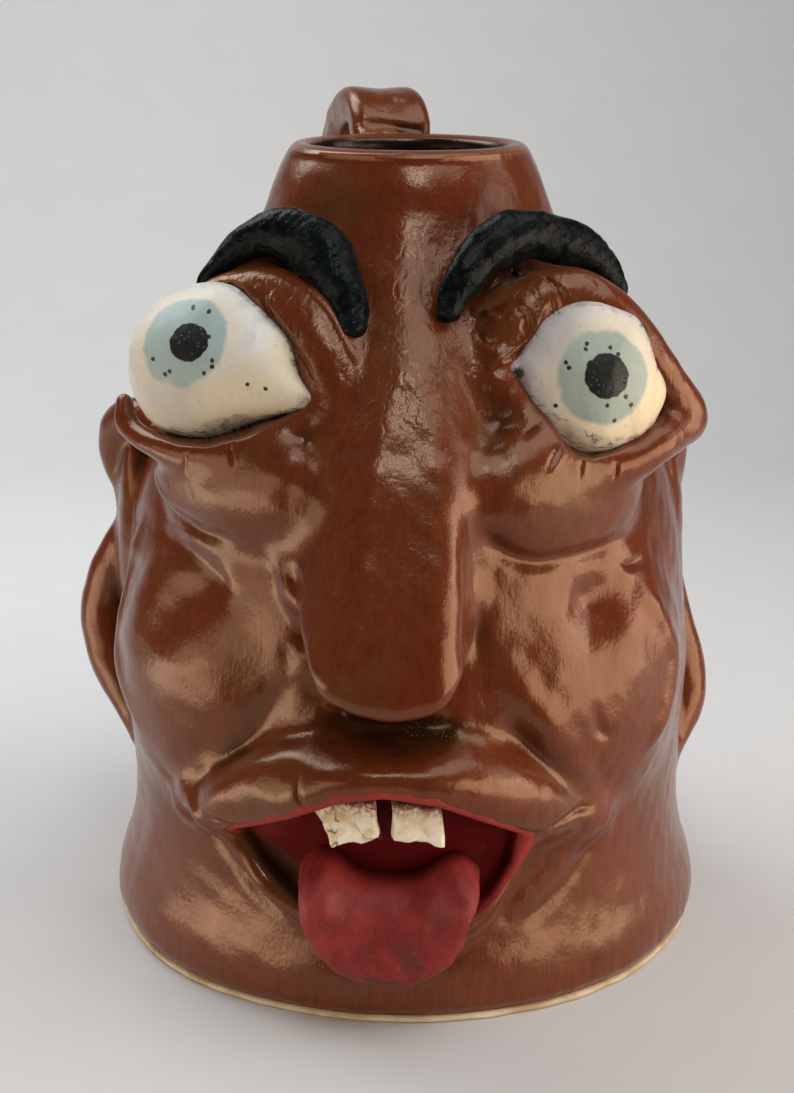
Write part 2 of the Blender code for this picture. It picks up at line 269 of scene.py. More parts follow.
def outline_distance(points, corners):
    """Signed distance in the X-Z plane to a closed outline, negative inside."""
    flat = points[:, (0, 2)]
    corners = np.asarray(corners, float)
    best = np.full(len(points), 1e6)
    inside = np.zeros(len(points), bool)
    for a, b in zip(corners, np.roll(corners, -1, axis=0)):
        off, span = flat - a, b - a
        t = np.clip(off @ span / (span @ span), 0, 1)
        best = np.minimum(best, ((off - t[:, None] * span) ** 2).sum(axis=1))
        above_a, above_b = flat[:, 1] >= a[1], flat[:, 1] < b[1]
        cross = span[0] * off[:, 1] - span[1] * off[:, 0]
        inside ^= (above_a & above_b & (cross > 0)) | (~above_a & ~above_b & (cross < 0))
    return np.where(inside, -1, 1) * np.sqrt(best)


# ---- The lumps of clay ----

EYES = {"left": np.array([-54.0, -38.0, 172.0]), "right": np.array([46.5, -44.0, 170.5])}
EYE_RADII = {"left": (22, 22, 22), "right": (20.8, 20.8, 20.8)}
SOCKETS = {"left": ((-45, -30, 171), (21, 18, 15)), "right": ((45, -32, 171), (24.5, 18, 21))}

# Each lid as (x, y, z, thickness) along its middle
LIDS = {
    "left_upper_lid": [
        (-58.5, -33.5, 189.2, 2.2), (-52, -36.5, 191, 4.2), (-45, -38.8, 191.6, 6.2), (-38, -41, 190.6, 8.4),
        (-31.5, -44.2, 188, 9.6), (-26, -48, 184.2, 10), (-22.3, -51.6, 179.5, 10), (-20, -55, 173.5, 9.5),
        (-18.5, -59, 166, 7.5), (-19, -62.5, 159, 4.5)],
    "left_lower_lid": [
        (-77.5, -36, 161, 2.6), (-77, -39, 157.5, 3.0), (-74.5, -42.5, 154.5, 3.2), (-68.5, -48, 152.4, 3.4),
        (-56.5, -57, 151.2, 3.5), (-44, -61.5, 153.5, 3.5), (-33.5, -63, 158.5, 3.2),
        (-26, -62.5, 164, 2.8)],
    "right_upper_lid": [
        (23.5, -56, 172, 4.5), (24.5, -52, 180, 6), (28.5, -49.5, 186, 7.5), (35, -46.5, 190.5, 8.4),
        (43, -45.5, 191.6, 8.2), (51, -46.3, 189.3, 7.2), (58, -46.3, 184.6, 6), (64, -46, 177.4, 5.4),
        (69.5, -44.5, 169.5, 5.4), (73.6, -42.2, 163.6, 5.6), (74.6, -41, 159, 5.4)],
    "right_lower_lid": [
        (25, -57.5, 169.5, 4), (30, -59, 163.5, 4.3), (35, -60.5, 157.5, 4.7), (42, -61, 152, 5),
        (51, -60, 149.6, 5.2), (60, -57, 151, 5.4), (66, -53.3, 154, 5.4), (70.5, -48, 156, 5.4),
        (73.6, -43.5, 157.4, 5.4), (74.6, -41, 158.4, 5.2)],
}

LID_BLENDS = {"left_upper_lid": 9.0, "right_upper_lid": 8.0, "left_lower_lid": 5.0, "right_lower_lid": 6.0}
UNDER_LEFT_BROW = ((-39, -28, 197), (9, 8, 7))

# The openings that the lids leave, seen from the front
EYE_OPENINGS = {
    "left": [(-95, 190), (-63, 190.6), (-56.5, 192.8), (-51, 194.3), (-47, 194.8), (-43.8, 193.3),
             (-41, 189.7), (-37.6, 184.7), (-34, 180), (-30.3, 174.6), (-26.5, 168), (-27.5, 165.6),
             (-34, 163), (-42.5, 158.7), (-53, 155.2), (-61, 154.8), (-67.6, 156), (-74, 159.2),
             (-77.5, 166), (-95, 168)],
    "right": [(27, 174.7), (29.8, 179.6), (32.2, 182.2), (35.8, 185.6), (38.2, 187.8), (42, 189.6),
              (46, 190), (50.6, 189.2), (55.8, 186.6), (59.2, 183), (61.2, 180), (62.8, 176), (63.6, 171.5),
              (64, 167.5), (63.6, 164), (62, 159.6), (59.6, 156.8), (54, 154.4), (47.9, 153.3),
              (43.8, 154.3), (40.7, 156.6), (38.6, 160.2), (36.5, 163.3), (33.3, 167.4), (30.3, 171.4)],
}

# The nose from brow to tip: height, left and right edge of the front face, front, and its flanks' splay
NOSE_ROUNDING = 6.5
NOSE_CREST = 3.0  # how widely the two flanks run together in the middle
NOSE_BOTTOM = 92.2
NOSE_BOX = (-38, -107, 88), (26, -20, 226)
NOSE = [
    (226, -4, 2, -20, 0.5, 0.5), (217, -5, 3, -30, 0.5, 0.5), (210, -6, 4, -38, 0.5, 0.5),
    (203, -7, 5, -44.5, 0.5, 0.5), (194, -8.5, 6, -52, 0.5, 0.5), (186, -9, 6.5, -59.5, 0.5, 0.45),
    (177, -10, 8, -67, 0.5, 0.4), (165, -12.5, 11, -75, 0.5, 0.3), (158, -14, 13, -79.5, 0.5, 0.25),
    (151, -15.5, 13.5, -84, 0.5, 0.2), (133, -17, 13, -93, 0.55, 0.15), (120, -18.5, 13, -99.5, 0.58, 0.12),
    (113, -21.5, 13, -102.8, 0.45, 0.12), (103, -26, 13.5, -106, 0.2, 0.1),
    (95, -27, 13.5, -106.5, 0.15, 0.1), (86, -27, 13.5, -106.5, 0.15, 0.1),
]

MUZZLE_TOP = [
    (-60, -58, 53, 4), (-53, -66, 58, 6.5), (-45, -73, 63, 8.5), (-36, -78.5, 67.5, 9.3),
    (-26, -83, 71, 9.4), (-15, -86.6, 72.8, 9), (-2, -88, 73.2, 8.8), (12, -86.6, 72.2, 9),
    (22, -83.2, 69.2, 9), (33, -77, 63.5, 8.4), (42, -71, 58, 6.5), (50, -64, 52, 4.5),
]
MUZZLE_EDGE = [
    (-52, -70.5, 53.5, 2.5), (-46, -76.8, 57.2, 3.2), (-36, -84.6, 63.2, 3.6), (-28, -90.2, 67.6, 3.8),
    (-17, -94, 73.6, 3.8), (-6, -95, 75.2, 3.8), (8, -94, 72.6, 3.8), (22, -87.6, 65, 3.6),
    (30, -82.6, 60, 3.2), (38, -76, 55, 2.4),
]
LOWER_LIP = [
    (-50, -69, 53, 2.2), (-46, -71.5, 49, 2.6), (-40, -76, 42, 3), (-36, -78.5, 38, 3.2),
    (-28, -81, 32, 3.4), (-18, -83, 26, 3.6), (-5, -84, 23.5, 3.6), (8, -83.5, 26, 3.6), (19, -82, 32, 3.4),
    (26, -80.5, 42, 3.2), (31, -78.5, 51, 2.8), (35, -75.5, 54, 2.2),
]

BAG_PADS = {"left": (-38, 144, -1.5, (30, 11, 17.5)), "right": (32, 144, -1.5, (29, 11.5, 18))}
CHEEK_PADS = {"left": (-53, 88, -7.5, (23, 13, 27)), "right": (46, 88, -8, (25, 13, 26))}

EARS = {
    "left": [(-73, -10, 147, 3), (-79.5, -3, 150.5, 5), (-84.5, 5, 145.5, 6.3), (-86, 10, 136, 6.3),
             (-83.5, 11, 126, 5.5), (-82.5, 10, 117, 5), (-86.5, 13, 107, 6), (-91, 15, 96, 7),
             (-93, 15, 84, 7.5), (-90.5, 10, 71, 7), (-85.5, 3, 60, 5), (-81, -4, 52, 3)],
    "right": [(69, -10, 146, 3), (74, -2, 150, 4.5), (78, 7, 143, 5), (78.5, 12, 132, 5), (77, 11, 121, 4),
              (78, 10, 112, 4), (80, 13, 99, 4.5), (83, 15, 84, 5.5), (86, 14, 70, 6.5), (86.5, 10, 59, 6.5),
              (83, 3, 49, 4.5), (80, -3, 44, 3)],
}
EAR_FLAPS = {"left": ((-80, 6, 106), (7, 14, 44)), "right": ((77, 6, 100), (6, 14, 44))}

HANDLE_LINE = [
    (39.5, 212), (40.5, 222), (43, 230), (48.5, 234.8), (56.5, 235.8), (66, 234.2), (77, 229.3), (87, 220),
    (97, 200), (101.5, 174), (99, 147), (92, 126), (82, 112), (72, 105),
]
HANDLE_HALF_WIDTH, HANDLE_HALF_THICKNESS, HANDLE_FLARE = 12.0, 5.6, 1.6
HANDLE_MIDDLE = (0, 60, 180)
HANDLE_X = 4.6
HANDLE_TURN = math.radians(14)
RIPPLE_X, RIPPLE_Z = -4, 233


def handle_lump():
    turn = Matrix.Rotation(HANDLE_TURN, 3, "Z")
    rows = []
    for i, (y, z) in enumerate(HANDLE_LINE):
        x, y, z = turn @ Vector((0, y, z)) + Vector((HANDLE_X, 0, 0))
        flare = HANDLE_FLARE if i in (0, len(HANDLE_LINE) - 1) else 0.0
        rows.append((x, y, z, HANDLE_HALF_WIDTH + flare, HANDLE_HALF_THICKNESS + flare))
    middle = turn @ Vector(HANDLE_MIDDLE) + Vector((HANDLE_X, 0, 0))
    bar = strap(rows, blend=4.0, rounding=3.8, dip=0.7, around=middle)

    def distance(points):
        """The strap, with a ripple pressed into the face behind the rim."""
        x, y, z = points.T
        aside = x - RIPPLE_X
        level = z - RIPPLE_Z + 0.12 * aside
        ripple = np.exp(-((level / 1.5) ** 2)) - 0.9 * np.exp(-(((level + 2.6) / 1.4) ** 2))
        return bar.distance(points) - 0.55 * ripple * np.exp(-((aside / 9) ** 2)) * ease(46 - y, 0, 8)

    return Lump(distance, bar.low, bar.high, 4.0)


def nose_lump():
    table = smooth_rows(NOSE, 6)[::-1]

    def distance(points):
        x, y, z = points.T
        left, right, front, splay, splay_right = (np.interp(z, table[:, 0], table[:, i]) for i in range(1, 6))
        above, below = (np.interp(z + step, table[:, 0], table[:, 3]) for step in (2, -2))
        lean = (above - below) / 4
        middle = (left + right) / 2
        half = (right - left) / 2
        ahead = front - y
        splay = np.where(x < middle, splay, splay_right)
        widen = splay * np.maximum(-ahead, 0)
        across = (np.sqrt((x - middle) ** 2 + NOSE_CREST**2) - half - widen) / np.sqrt(1 + splay**2)
        bottom = NOSE_BOTTOM + 9 * ((x + 4) / 20) ** 2 - z + 0.25 * (y + 106)
        return rounded(NOSE_ROUNDING, across, ahead / np.sqrt(1 + lean**2), bottom)

    return Lump(distance, *NOSE_BOX, 8.0)


def wall_pad(spot, blend):
    angle, height, lift, radii = spot
    return pad(on_wall(angle, height, lift), radii, blend, turn=angle)


def make_lumps():
    """Every brown piece but the wall, in the order that they are pressed on."""
    lumps = {}
    for side in ("left", "right"):
        lumps[side + "_cheek"] = wall_pad(CHEEK_PADS[side], 16.0)
        lumps[side + "_eye_bag"] = wall_pad(BAG_PADS[side], 7.0)
    lumps["upper_lip"] = joined(roll(MUZZLE_TOP, 8.0), roll(MUZZLE_EDGE, 8.0), blend=7.0)
    lumps["lower_lip"] = roll(LOWER_LIP, 5.0)
    lumps["nose"] = nose_lump()
    for name, rows in LIDS.items():
        blend = LID_BLENDS[name]
        lumps[name] = roll(rows, blend)
        if "upper" in name:
            lumps[name] = joined(lumps[name], pad(*SOCKETS[name.split("_")[0]], blend), blend=8.0)
    lumps["left_upper_lid"] = joined(lumps["left_upper_lid"], pad(*UNDER_LEFT_BROW, 9.0), blend=6.0)
    for side in ("left", "right"):
        centre, radii = EAR_FLAPS[side]
        lumps[side + "_ear"] = joined(roll(EARS[side], 4.0), pad(centre, radii, 4.0), blend=3.0)
    lumps["handle"] = handle_lump()
    return lumps


LUMPS = make_lumps()

# The white of each eye is a ball, drawn out to the corners between the lids
EYE_CORNERS = {
    "left": [
        [(-49, -45.5, 172, 16.5), (-42, -52, 171.5, 13.5), (-36, -57, 170, 9.2), (-31, -60.3, 168.6, 5.4),
         (-26.5, -62.4, 167.4, 2.6)],
        [(-49, -43, 183, 11), (-44, -46, 179, 12), (-38, -51, 175, 10.5)],
    ],
    "right": [
        [(43, -49, 171.5, 15.5), (37.5, -52.5, 172.5, 11), (32.5, -55.5, 173.8, 6.4),
         (27.6, -57.5, 174.6, 2.6)],
        [(54, -49, 170, 12.5), (59, -50, 168.5, 9), (63, -49, 167.5, 5)],
        [(40, -48.5, 180, 10.5), (46, -49, 183, 10), (52, -48, 181, 10)],
        [(41, -53, 163.5, 10.5), (48, -53, 161, 11), (55, -51, 162.5, 10)],
    ],
}


def make_eyeball(side):
    ball = pad(EYES[side], EYE_RADII[side], 4.0)
    whole = joined(ball, *[roll(rows, 4.0) for rows in EYE_CORNERS[side]], blend=5.0)

    def distance(points):
        return whole.distance(points) + 0.12 * unevenness(points, 22, 31 + len(side)) \
            + 0.03 * unevenness(points, 4, 32)

    return Lump(distance, whole.low, whole.high, 4.0)


EYEBALLS = {side: make_eyeball(side) for side in EYES}

MOUTH_OPENING = [
    (-47, 54), (-36, 60), (-28, 64.5), (-17, 70), (-6, 71.6), (8, 69.2), (22, 61.4), (30.5, 55.6),
    (28.5, 46), (22.5, 37), (11, 30), (-5, 27.5), (-20, 30), (-31, 36), (-39, 44),
]

# Folds, as lines over the wall: points (x, y, z), width, and depth (a ridge if it is negative)
FOLDS = [
    # From the nose's wings to the mouth's corners, with a ridge on the cheek's side
    ([(-33, -80, 128), (-30, -83, 120), (-29, -83, 110), (-31, -82, 102)], 2.2, 1.6),
    ([(-37, -83, 106), (-34, -85, 96)], 1.8, 0.7),
    ([(-30, -76, 100), (-37, -76, 86), (-45, -74, 74), (-54, -67, 62), (-60, -61, 55)], 4.0, 1.6),
    ([(18, -83, 122), (19, -83, 108), (20, -83, 98)], 2.4, 1.4),
    ([(24, -80, 88), (34, -80, 76), (43, -74, 65), (52, -70, 54)], 4.0, 1.8),
    ([(25, -83, 106), (32, -83, 92), (43, -78, 74), (54, -71, 57)], 5.0, -1.6),
    # About the left corner of the mouth and down the jaw
    ([(-68, -48, 62), (-62, -55, 56), (-53, -64, 45), (-43, -71, 35), (-29, -79, 24)], 2.2, 0.9),
    ([(-64, -58, 62), (-57, -65, 57), (-49, -72, 50), (-44, -75, 44), (-36, -80, 35),
      (-27, -84, 29)], 2.6, -1.1),
    ([(57, -62, 50), (50, -69, 40), (41, -75, 31), (30, -81, 25)], 2.5, 0.8),
    ([(53, -66, 55), (45, -72, 44), (37, -77, 35), (27, -82, 28)], 3.2, -0.9),
    ([(38, -83, 55), (42, -81, 57), (48, -78, 58), (54, -74, 57)], 1.2, 1.2),
    ([(-55, -74, 57), (-48, -79, 56), (-43, -82, 55.5)], 1.0, 1.0),
    ([(-28, -94, 77), (-28, -95, 70), (-25, -95, 67)], 0.7, 0.8),
    # Under the eye bags
    ([(-73, -32, 143), (-68, -44, 135), (-61, -54, 132), (-54, -61, 130.5), (-42, -69, 132)], 2.4, 1.1),
    ([(-79, -36, 160), (-77, -38, 152), (-73, -40, 145), (-67, -46, 138), (-60, -54, 135)], 2.2, -0.8),
    ([(-73, -36, 128), (-69, -44, 124), (-59, -57, 122), (-52, -64, 118), (-48, -67, 112)], 3.2, 0.7),
    ([(-66, -48, 128), (-57, -58, 126), (-49, -65, 122), (-44, -69, 115)], 3.4, -0.6),
    ([(18, -79, 139), (24, -79, 132), (33, -76, 127), (43, -71, 126.5), (53, -63, 127),
      (63, -53, 131)], 2.6, 1.6),
    ([(57, -58, 122), (62, -54, 120.5), (67, -49, 122)], 1.3, 1.0),
    # The ridges down the sides of the face
    ([(-77, -30, 128), (-80, -24, 118), (-82, -22, 108), (-82, -28, 93), (-78, -37, 80),
      (-71, -49, 68)], 4.0, -1.8),
    ([(63, -56, 118), (67, -52, 108), (71, -48, 93), (69, -53, 77), (64, -58, 66)], 4.0, -1.8),
    ([(48, -71, 90), (50, -70, 80), (55, -67, 77)], 1.6, 0.9),
    # The tear folds at the inner corners of the eyes
    ([(-25, -66, 160), (-28, -70, 148), (-32, -73, 138)], 2.6, 0.5),
    ([(21, -66, 162), (23, -72, 148)], 3.0, 0.5),
    # A soft facet down the neck
    ([(16, -30, 222), (17, -38, 210), (17, -42, 202)], 4.5, -0.4),
    # Between the tip of the nose and the lip, and the slit left of the tip
    ([(-25, -80, 85), (-12, -84, 84.2), (0, -86, 84), (14, -84, 85)], 3.8, 3.2),
    ([(-24, -79, 88.6), (-19, -80.6, 87.6), (-14.5, -82.5, 87.2)], 1.3, 1.4),
    # Wrinkles and runs of glaze on the right eye's upper lid
    ([(33.7, -49.2, 198.4), (36.2, -50.7, 196.6), (37.7, -51.3, 194.2), (38.3, -51.3, 191)], 0.9, 0.7),
    ([(36.6, -49.2, 198.0), (38.6, -50.7, 195.6), (39.6, -51.3, 192.4)], 0.9, -0.45),
    ([(27.6, -53.4, 192.2), (29.5, -54.1, 191.6), (31.1, -54.7, 189.7), (31.6, -54.9, 186.7),
      (30.1, -55.7, 183)],
     1.0, -0.6),
    ([(26.5, -53.4, 190.4), (28.2, -54.1, 189.6), (29.2, -54.7, 187.7), (28.6, -55.7, 184)], 0.9, 0.6),
    ([(35.1, -52.2, 193.3), (33.1, -53.9, 190), (32.6, -55, 186.2), (30.6, -56, 182.2), (26, -57.9, 179.4),
      (22, -58.9, 177.4), (20, -60.3, 173.5)], 1.1, -0.8),
    ([(27.9, -46.4, 197.4), (24.8, -47.7, 195.1), (21.7, -49.6, 191.8), (18.2, -49.8, 189.8),
      (15.7, -50.6, 188)],
     1.2, -0.6),
    ([(46.4, -48.1, 198.2), (48, -48.9, 195.9), (46.9, -49.9, 193.6)], 0.8, 0.4),
    ([(17.6, -53.2, 184.8), (19.5, -56.4, 182.3), (22, -57.8, 181.6), (25, -57.6, 182.5),
      (27, -56.9, 184.8)],
     0.9, 0.5),
    ([(20.4, -53.2, 187.6), (23, -56.4, 188.6), (25, -57.8, 187.2)], 0.9, -0.5),
    # Nicks in the right eye's lower lid
    ([(36.2, -66.5, 164), (31.7, -69.4, 160.6), (27.4, -70.6, 158.6)], 0.8, 0.45),
    ([(40.2, -70.5, 158), (37.2, -72.4, 154.4), (34.4, -73.9, 150.4)], 0.8, 0.5),
    ([(41.4, -70.5, 157.4), (38.4, -72.4, 153.6), (35.6, -73.9, 149.8)], 0.8, -0.3),
    ([(45.9, -69, 155), (45, -70, 151), (44.2, -70.1, 147)], 0.7, 0.45),
    ([(46.9, -69, 154.4), (46, -70, 150.8), (45.2, -70.1, 147)], 0.7, -0.25),
    ([(54.3, -64.5, 153), (53.8, -64.5, 149.6), (53, -65.3, 146)], 0.7, 0.45),
    ([(55.3, -64.5, 152.6), (54.8, -64.5, 149.4), (54, -65.3, 146)], 0.7, -0.25),
    # Wrinkles on the left eye's upper lid, the edge that runs round it, and the line along its crest
    ([(-35.2, -49.9, 195), (-35.7, -51.2, 191.5), (-34.1, -53.2, 188.7), (-31.3, -55.7, 185.4),
      (-29, -58, 181)],
     1.1, -0.7),
    ([(-37.2, -49.9, 194), (-37.7, -51.2, 190.5), (-35.6, -53.2, 187)], 0.9, 0.6),
    ([(-27.8, -57.1, 188.6), (-29.2, -57.5, 184.7), (-29, -58, 181)], 0.9, -0.5),
    ([(-42.3, -46.1, 196.6), (-39.4, -48.8, 194.9), (-37, -50.7, 190.4)], 0.9, 0.4),
    ([(-39.2, -48.6, 193), (-35.6, -51.2, 187.6), (-30.6, -55.6, 181.4), (-26.6, -60.5, 177.2),
      (-23, -64.2, 171)],
     0.8, 0.5),
    ([(-28.5, -46.8, 198), (-21.4, -54.7, 191.6), (-15.6, -60.6, 182.2), (-12.4, -64.3, 176)], 1.2, -0.7),
    # Cracks in the ledge under the left eye
    ([(-46.5, -66.1, 157.4), (-46, -67, 154), (-45.4, -67.8, 150.6)], 0.7, 0.7),
    ([(-45.3, -66.1, 157), (-44.8, -67, 154), (-44.2, -67.8, 150.6)], 0.7, -0.4),
    ([(-58.2, -60.2, 154), (-58.7, -60, 150), (-59.2, -59.5, 146)], 0.7, 0.4),
]
PITS = [
    ((-61, -56, 109), (11, 10), 3.2), ((-55, -62, 117), (8, 6), 0.8), ((52, -65, 114), (9, 7), 2.4),
    ((50, -68, 107), (8, 10), 2.6), ((50, -70, 92), (8, 10), 1.0), ((-22, -80, 91), (7, 5), 1.2),
]


MEAN_RADIUS = 80
MOUTH_FLOOR = 0.6  # the mouth is opened down to this height over the wall's own surface
MOUTH_BACK = -40  # and no further back than this
EYE_REACH, EYE_BEHIND = 42, 12  # an opening is cut this near to an eye, and this far behind its middle
EYE_BED = 0.5  # depth that the ball is let into the clay


def over_wall(points):
    """Where points are over the unrolled wall: along the round, and up."""
    x, y, z = points.T
    return np.stack([MEAN_RADIUS * np.arctan2(x, -y), 0 * z, z], 1)


def fold_path(line):
    """The line over the unrolled wall, with how far along it each point is."""
    along = np.linspace(0, 1, len(line))[:, None]
    return Path(np.hstack([over_wall(np.array(line, float)), along]), outward=(0, 1, 0))


FOLD_PATHS = [
    (fold_path(line), width, depth, 0.25 if len(line) > 3 else 0.45) for line, width, depth in FOLDS
]


def worked(points):
    """Height that folding and pressing takes off the surface."""
    flat = over_wall(points)
    total = np.zeros(len(points))
    for path, width, depth, taper in FOLD_PATHS:
        low, high = path.points.min(axis=0) - 3 * width, path.points.max(axis=0) + 3 * width
        near = (flat[:, 0] > low[0]) & (flat[:, 0] < high[0]) & (flat[:, 2] > low[2]) & (flat[:, 2] < high[2])
        if near.any():
            offset, at, _ = path.nearest(flat[near])
            end = np.minimum(at[:, 3], 1 - at[:, 3])
            total[near] += depth * np.exp(-(lengths(offset) / width) ** 2) * ease(end, 0.0, taper)
    for centre, (wide, high), depth in PITS:
        off = (flat - over_wall(np.array([centre], float))) / (wide, 1, high)
        total += depth * np.exp(-dots(off, off))
    return total


def clay(points, own=None):
    """Distance to the whole clay surface, to the lump named own, and to the nearest other one."""
    wall = wall_distance(points)
    total, owned = wall.copy(), wall
    nearest = np.full(len(points), FAR) if own == "jug_wall" else wall.copy()
    for name, lump in LUMPS.items():
        distance = lump.measure(points)
        total = smooth_min(total, distance, lump.blend)
        if name == own:
            owned = distance
        elif own is not None:
            nearest = np.minimum(nearest, distance)
    total = total + 0.35 * unevenness(points, 28, 5) + 0.10 * unevenness(points, 8, 8)
    front = points[:, 1] < 0
    total[front] += worked(points[front])
    opening = outline_distance(points, MOUTH_OPENING)
    cavity = np.maximum(np.maximum(opening, MOUTH_FLOOR - wall), points[:, 1] - MOUTH_BACK)
    total = smooth_max(total, -cavity, 1.6)
    for side, corners in EYE_OPENINGS.items():
        near = (lengths(points - EYES[side]) < EYE_REACH) & (points[:, 1] < EYES[side][1] + EYE_BEHIND)
        if near.any():
            white = EYEBALLS[side].distance(points[near]) + EYE_BED
            inside = np.maximum(outline_distance(points[near], corners), -white)
            total[near] = smooth_max(total[near], -inside, 1.2)
    return total, owned, nearest


# ---- Skinning ----

BLOCK = 4
CHUNK = 60_000
DIVE = 0.4
OVERLAP = 1.6
ROOT_DEPTH = 3.4
RIDGE_DEPTH, CREASE_HEIGHT, HOLLOW_HEIGHT = -2.0, 1.5, 7.0  # where ridges, creases and hollows are felt for
NEAR_CLAY = 3.0


def in_chunks(field, points):
    return np.concatenate([field(points[i:i + CHUNK]) for i in range(0, len(points), CHUNK)])


def gradient(field, points, step=0.35):
    result = np.empty_like(points)
    for axis in range(3):
        shift = np.zeros(3)
        shift[axis] = step
        result[:, axis] = (in_chunks(field, points + shift) - in_chunks(field, points - shift)) / (2 * step)
    return result


def sample_field(field, low, high, step):
    """Values on a grid, worked out only near the surface, and elsewhere just the side they are on."""
    low = np.asarray(low, float) - 2 * step
    blocks = np.ceil((np.asarray(high) + 2 * step - low) / (step * BLOCK)).astype(int)
    index = np.stack(np.meshgrid(*[np.arange(n) for n in blocks], indexing="ij"), -1).reshape(-1, 3)
    centres = low + (index * BLOCK + (BLOCK - 1) / 2) * step
    middle = in_chunks(field, centres)
    near = np.abs(middle) < BLOCK * step * 1.45
    values = np.where(middle > 0, 9.0, -9.0)[:, None] * np.ones(BLOCK**3)
    inner = np.stack(np.meshgrid(*[np.arange(BLOCK)] * 3, indexing="ij"), -1).reshape(-1, 3)
    points = low + ((index[near] * BLOCK)[:, None] + inner) * step
    values[near] = in_chunks(field, points.reshape(-1, 3)).reshape(-1, BLOCK**3)
    grid = values.reshape(*blocks, BLOCK, BLOCK, BLOCK).transpose(0, 3, 1, 4, 2, 5)
    return grid.reshape(blocks * BLOCK), low


def surface_net(grid, low, step):
    """One vertex in each cell that the surface crosses, and a quad for each grid edge that it crosses."""
    inside = grid < 0
    corner_count = np.zeros(np.array(grid.shape) - 1, np.int8)
    corners = [(i, j, k) for i in (0, 1) for j in (0, 1) for k in (0, 1)]
    nx, ny, nz = corner_count.shape
    for i, j, k in corners:
        corner_count += inside[i:nx + i, j:ny + j, k:nz + k]
    cells = np.argwhere((corner_count > 0) & (corner_count < 8))
    values = np.stack([grid[tuple((cells + c).T)] for c in corners], 1)
    total, count = np.zeros((len(cells), 3)), np.zeros(len(cells))
    for a in range(8):
        for b in range(a + 1, 8):
            ca, cb = np.array(corners[a]), np.array(corners[b])
            if np.abs(ca - cb).sum() != 1:
                continue
            crossing = (values[:, a] < 0) != (values[:, b] < 0)
            t = values[crossing, a] / (values[crossing, a] - values[crossing, b])
            total[crossing] += ca + t[:, None] * (cb - ca)
            count[crossing] += 1
    vertices = low + (cells + total / count[:, None]) * step
    number = np.full(corner_count.shape, -1, np.int32)
    number[tuple(cells.T)] = np.arange(len(cells))
    quads = []
    for axis in range(3):
        ahead = np.roll(np.eye(3, dtype=int), axis, axis=0)[0]
        one, two = np.roll(ahead, 1), np.roll(ahead, 2)
        start = tuple(slice(0, -1) if d else slice(1, -1) for d in ahead)
        end = tuple(slice(1, None) if d else slice(1, -1) for d in ahead)
        at = np.argwhere(inside[start] != inside[end]) + (1 - ahead)
        ring = [number[tuple((at - back).T)] for back in (one + two, two, one * 0, one)]
        quad = np.stack(ring, 1)
        flip = inside[tuple(at.T)]
        quads.append(np.where(flip[:, None], quad, quad[:, ::-1]))
    return vertices, np.vstack(quads)


def skin(field, low, high, step):
    """The closed surface where the field is 0, with its vertices pulled onto it."""
    step *= COARSE
    vertices, quads = surface_net(*sample_field(field, low, high, step), step)
    for _ in range(2):
        slope = gradient(field, vertices)
        pull = -in_chunks(field, vertices) / np.maximum(dots(slope, slope), 0.3)
        vertices = vertices + np.clip(pull, -step / 2, step / 2)[:, None] * slope
    return vertices, quads


def new_mesh(name, vertices, quads):
    mesh = bpy.data.meshes.new(name)
    mesh.vertices.add(len(vertices))
    mesh.vertices.foreach_set("co", (vertices * MM).astype(np.float32).ravel())
    mesh.loops.add(quads.size)
    mesh.loops.foreach_set("vertex_index", quads.astype(np.int32).ravel())
    mesh.polygons.add(len(quads))
    mesh.polygons.foreach_set("loop_start", np.arange(0, quads.size, quads.shape[1], dtype=np.int32))
    mesh.update(calc_edges=True)
    mesh.validate()
    mesh.shade_smooth()
    obj = bpy.data.objects.new(name, mesh)
    bpy.context.scene.collection.objects.link(obj)
    return obj


def mark_form(obj, vertices, field, last=None):
    """Gives the mesh the field's normals, and its form as a colour: how far each vertex is a ridge, a
    crease and a hollow, and as alpha the values in last, or how near it is to the clay."""
    slope = gradient(field, vertices)
    normals = slope / np.maximum(lengths(slope), 1e-6)[:, None]
    here = in_chunks(field, vertices)
    on_surface = np.abs(here) < 0.9

    def flatter(away):
        """0 where the field grows as it does over a flat face, up to this far away, and 1 where it stays."""
        return 1 - (in_chunks(field, vertices + normals * away) - here) / away

    if last is None:
        last = 1 - in_chunks(total_clay, vertices) / NEAR_CLAY
    form = np.stack([flatter(RIDGE_DEPTH), flatter(CREASE_HEIGHT), flatter(HOLLOW_HEIGHT), last], 1)
    attribute = obj.data.color_attributes.new("form", "FLOAT_COLOR", "POINT")
    attribute.data.foreach_set("color", np.clip(form, 0, 1).astype(np.float32).ravel())
    mesh_normals = np.empty(len(vertices) * 3, np.float32)
    obj.data.vertices.foreach_get("normal", mesh_normals)
    agree = dots(mesh_normals.reshape(-1, 3), normals) > 0.6
    normals[~(agree & on_surface)] = 0
    obj.data.normals_split_custom_set_from_vertices(normals)


def total_clay(points):
    return clay(points)[0]


def clay_piece(name, step):
    """Skins one lump out of the whole clay surface. Just past its border it dives under its neighbours."""
    lump = LUMPS[name]

    def field(points):
        total, own, rest = clay(points, name)
        past = own - rest
        root = np.maximum(-wall_distance(points) - ROOT_DEPTH, CLEAR_OPENING - lengths(points[:, :2]))
        return np.maximum(np.maximum(total + DIVE * np.maximum(past, 0), past - OVERLAP), root)

    vertices, quads = skin(field, lump.low - 4, lump.high + 4, step)
    obj = new_mesh("clay_" + name, vertices, quads)
    mark_form(obj, vertices, total_clay, np.ones(len(vertices)))
    return obj


def field_piece(name, field, low, high, step):
    vertices, quads = skin(field, low, high, step)
    obj = new_mesh("clay_" + name, vertices, quads)
    mark_form(obj, vertices, field)
    return obj


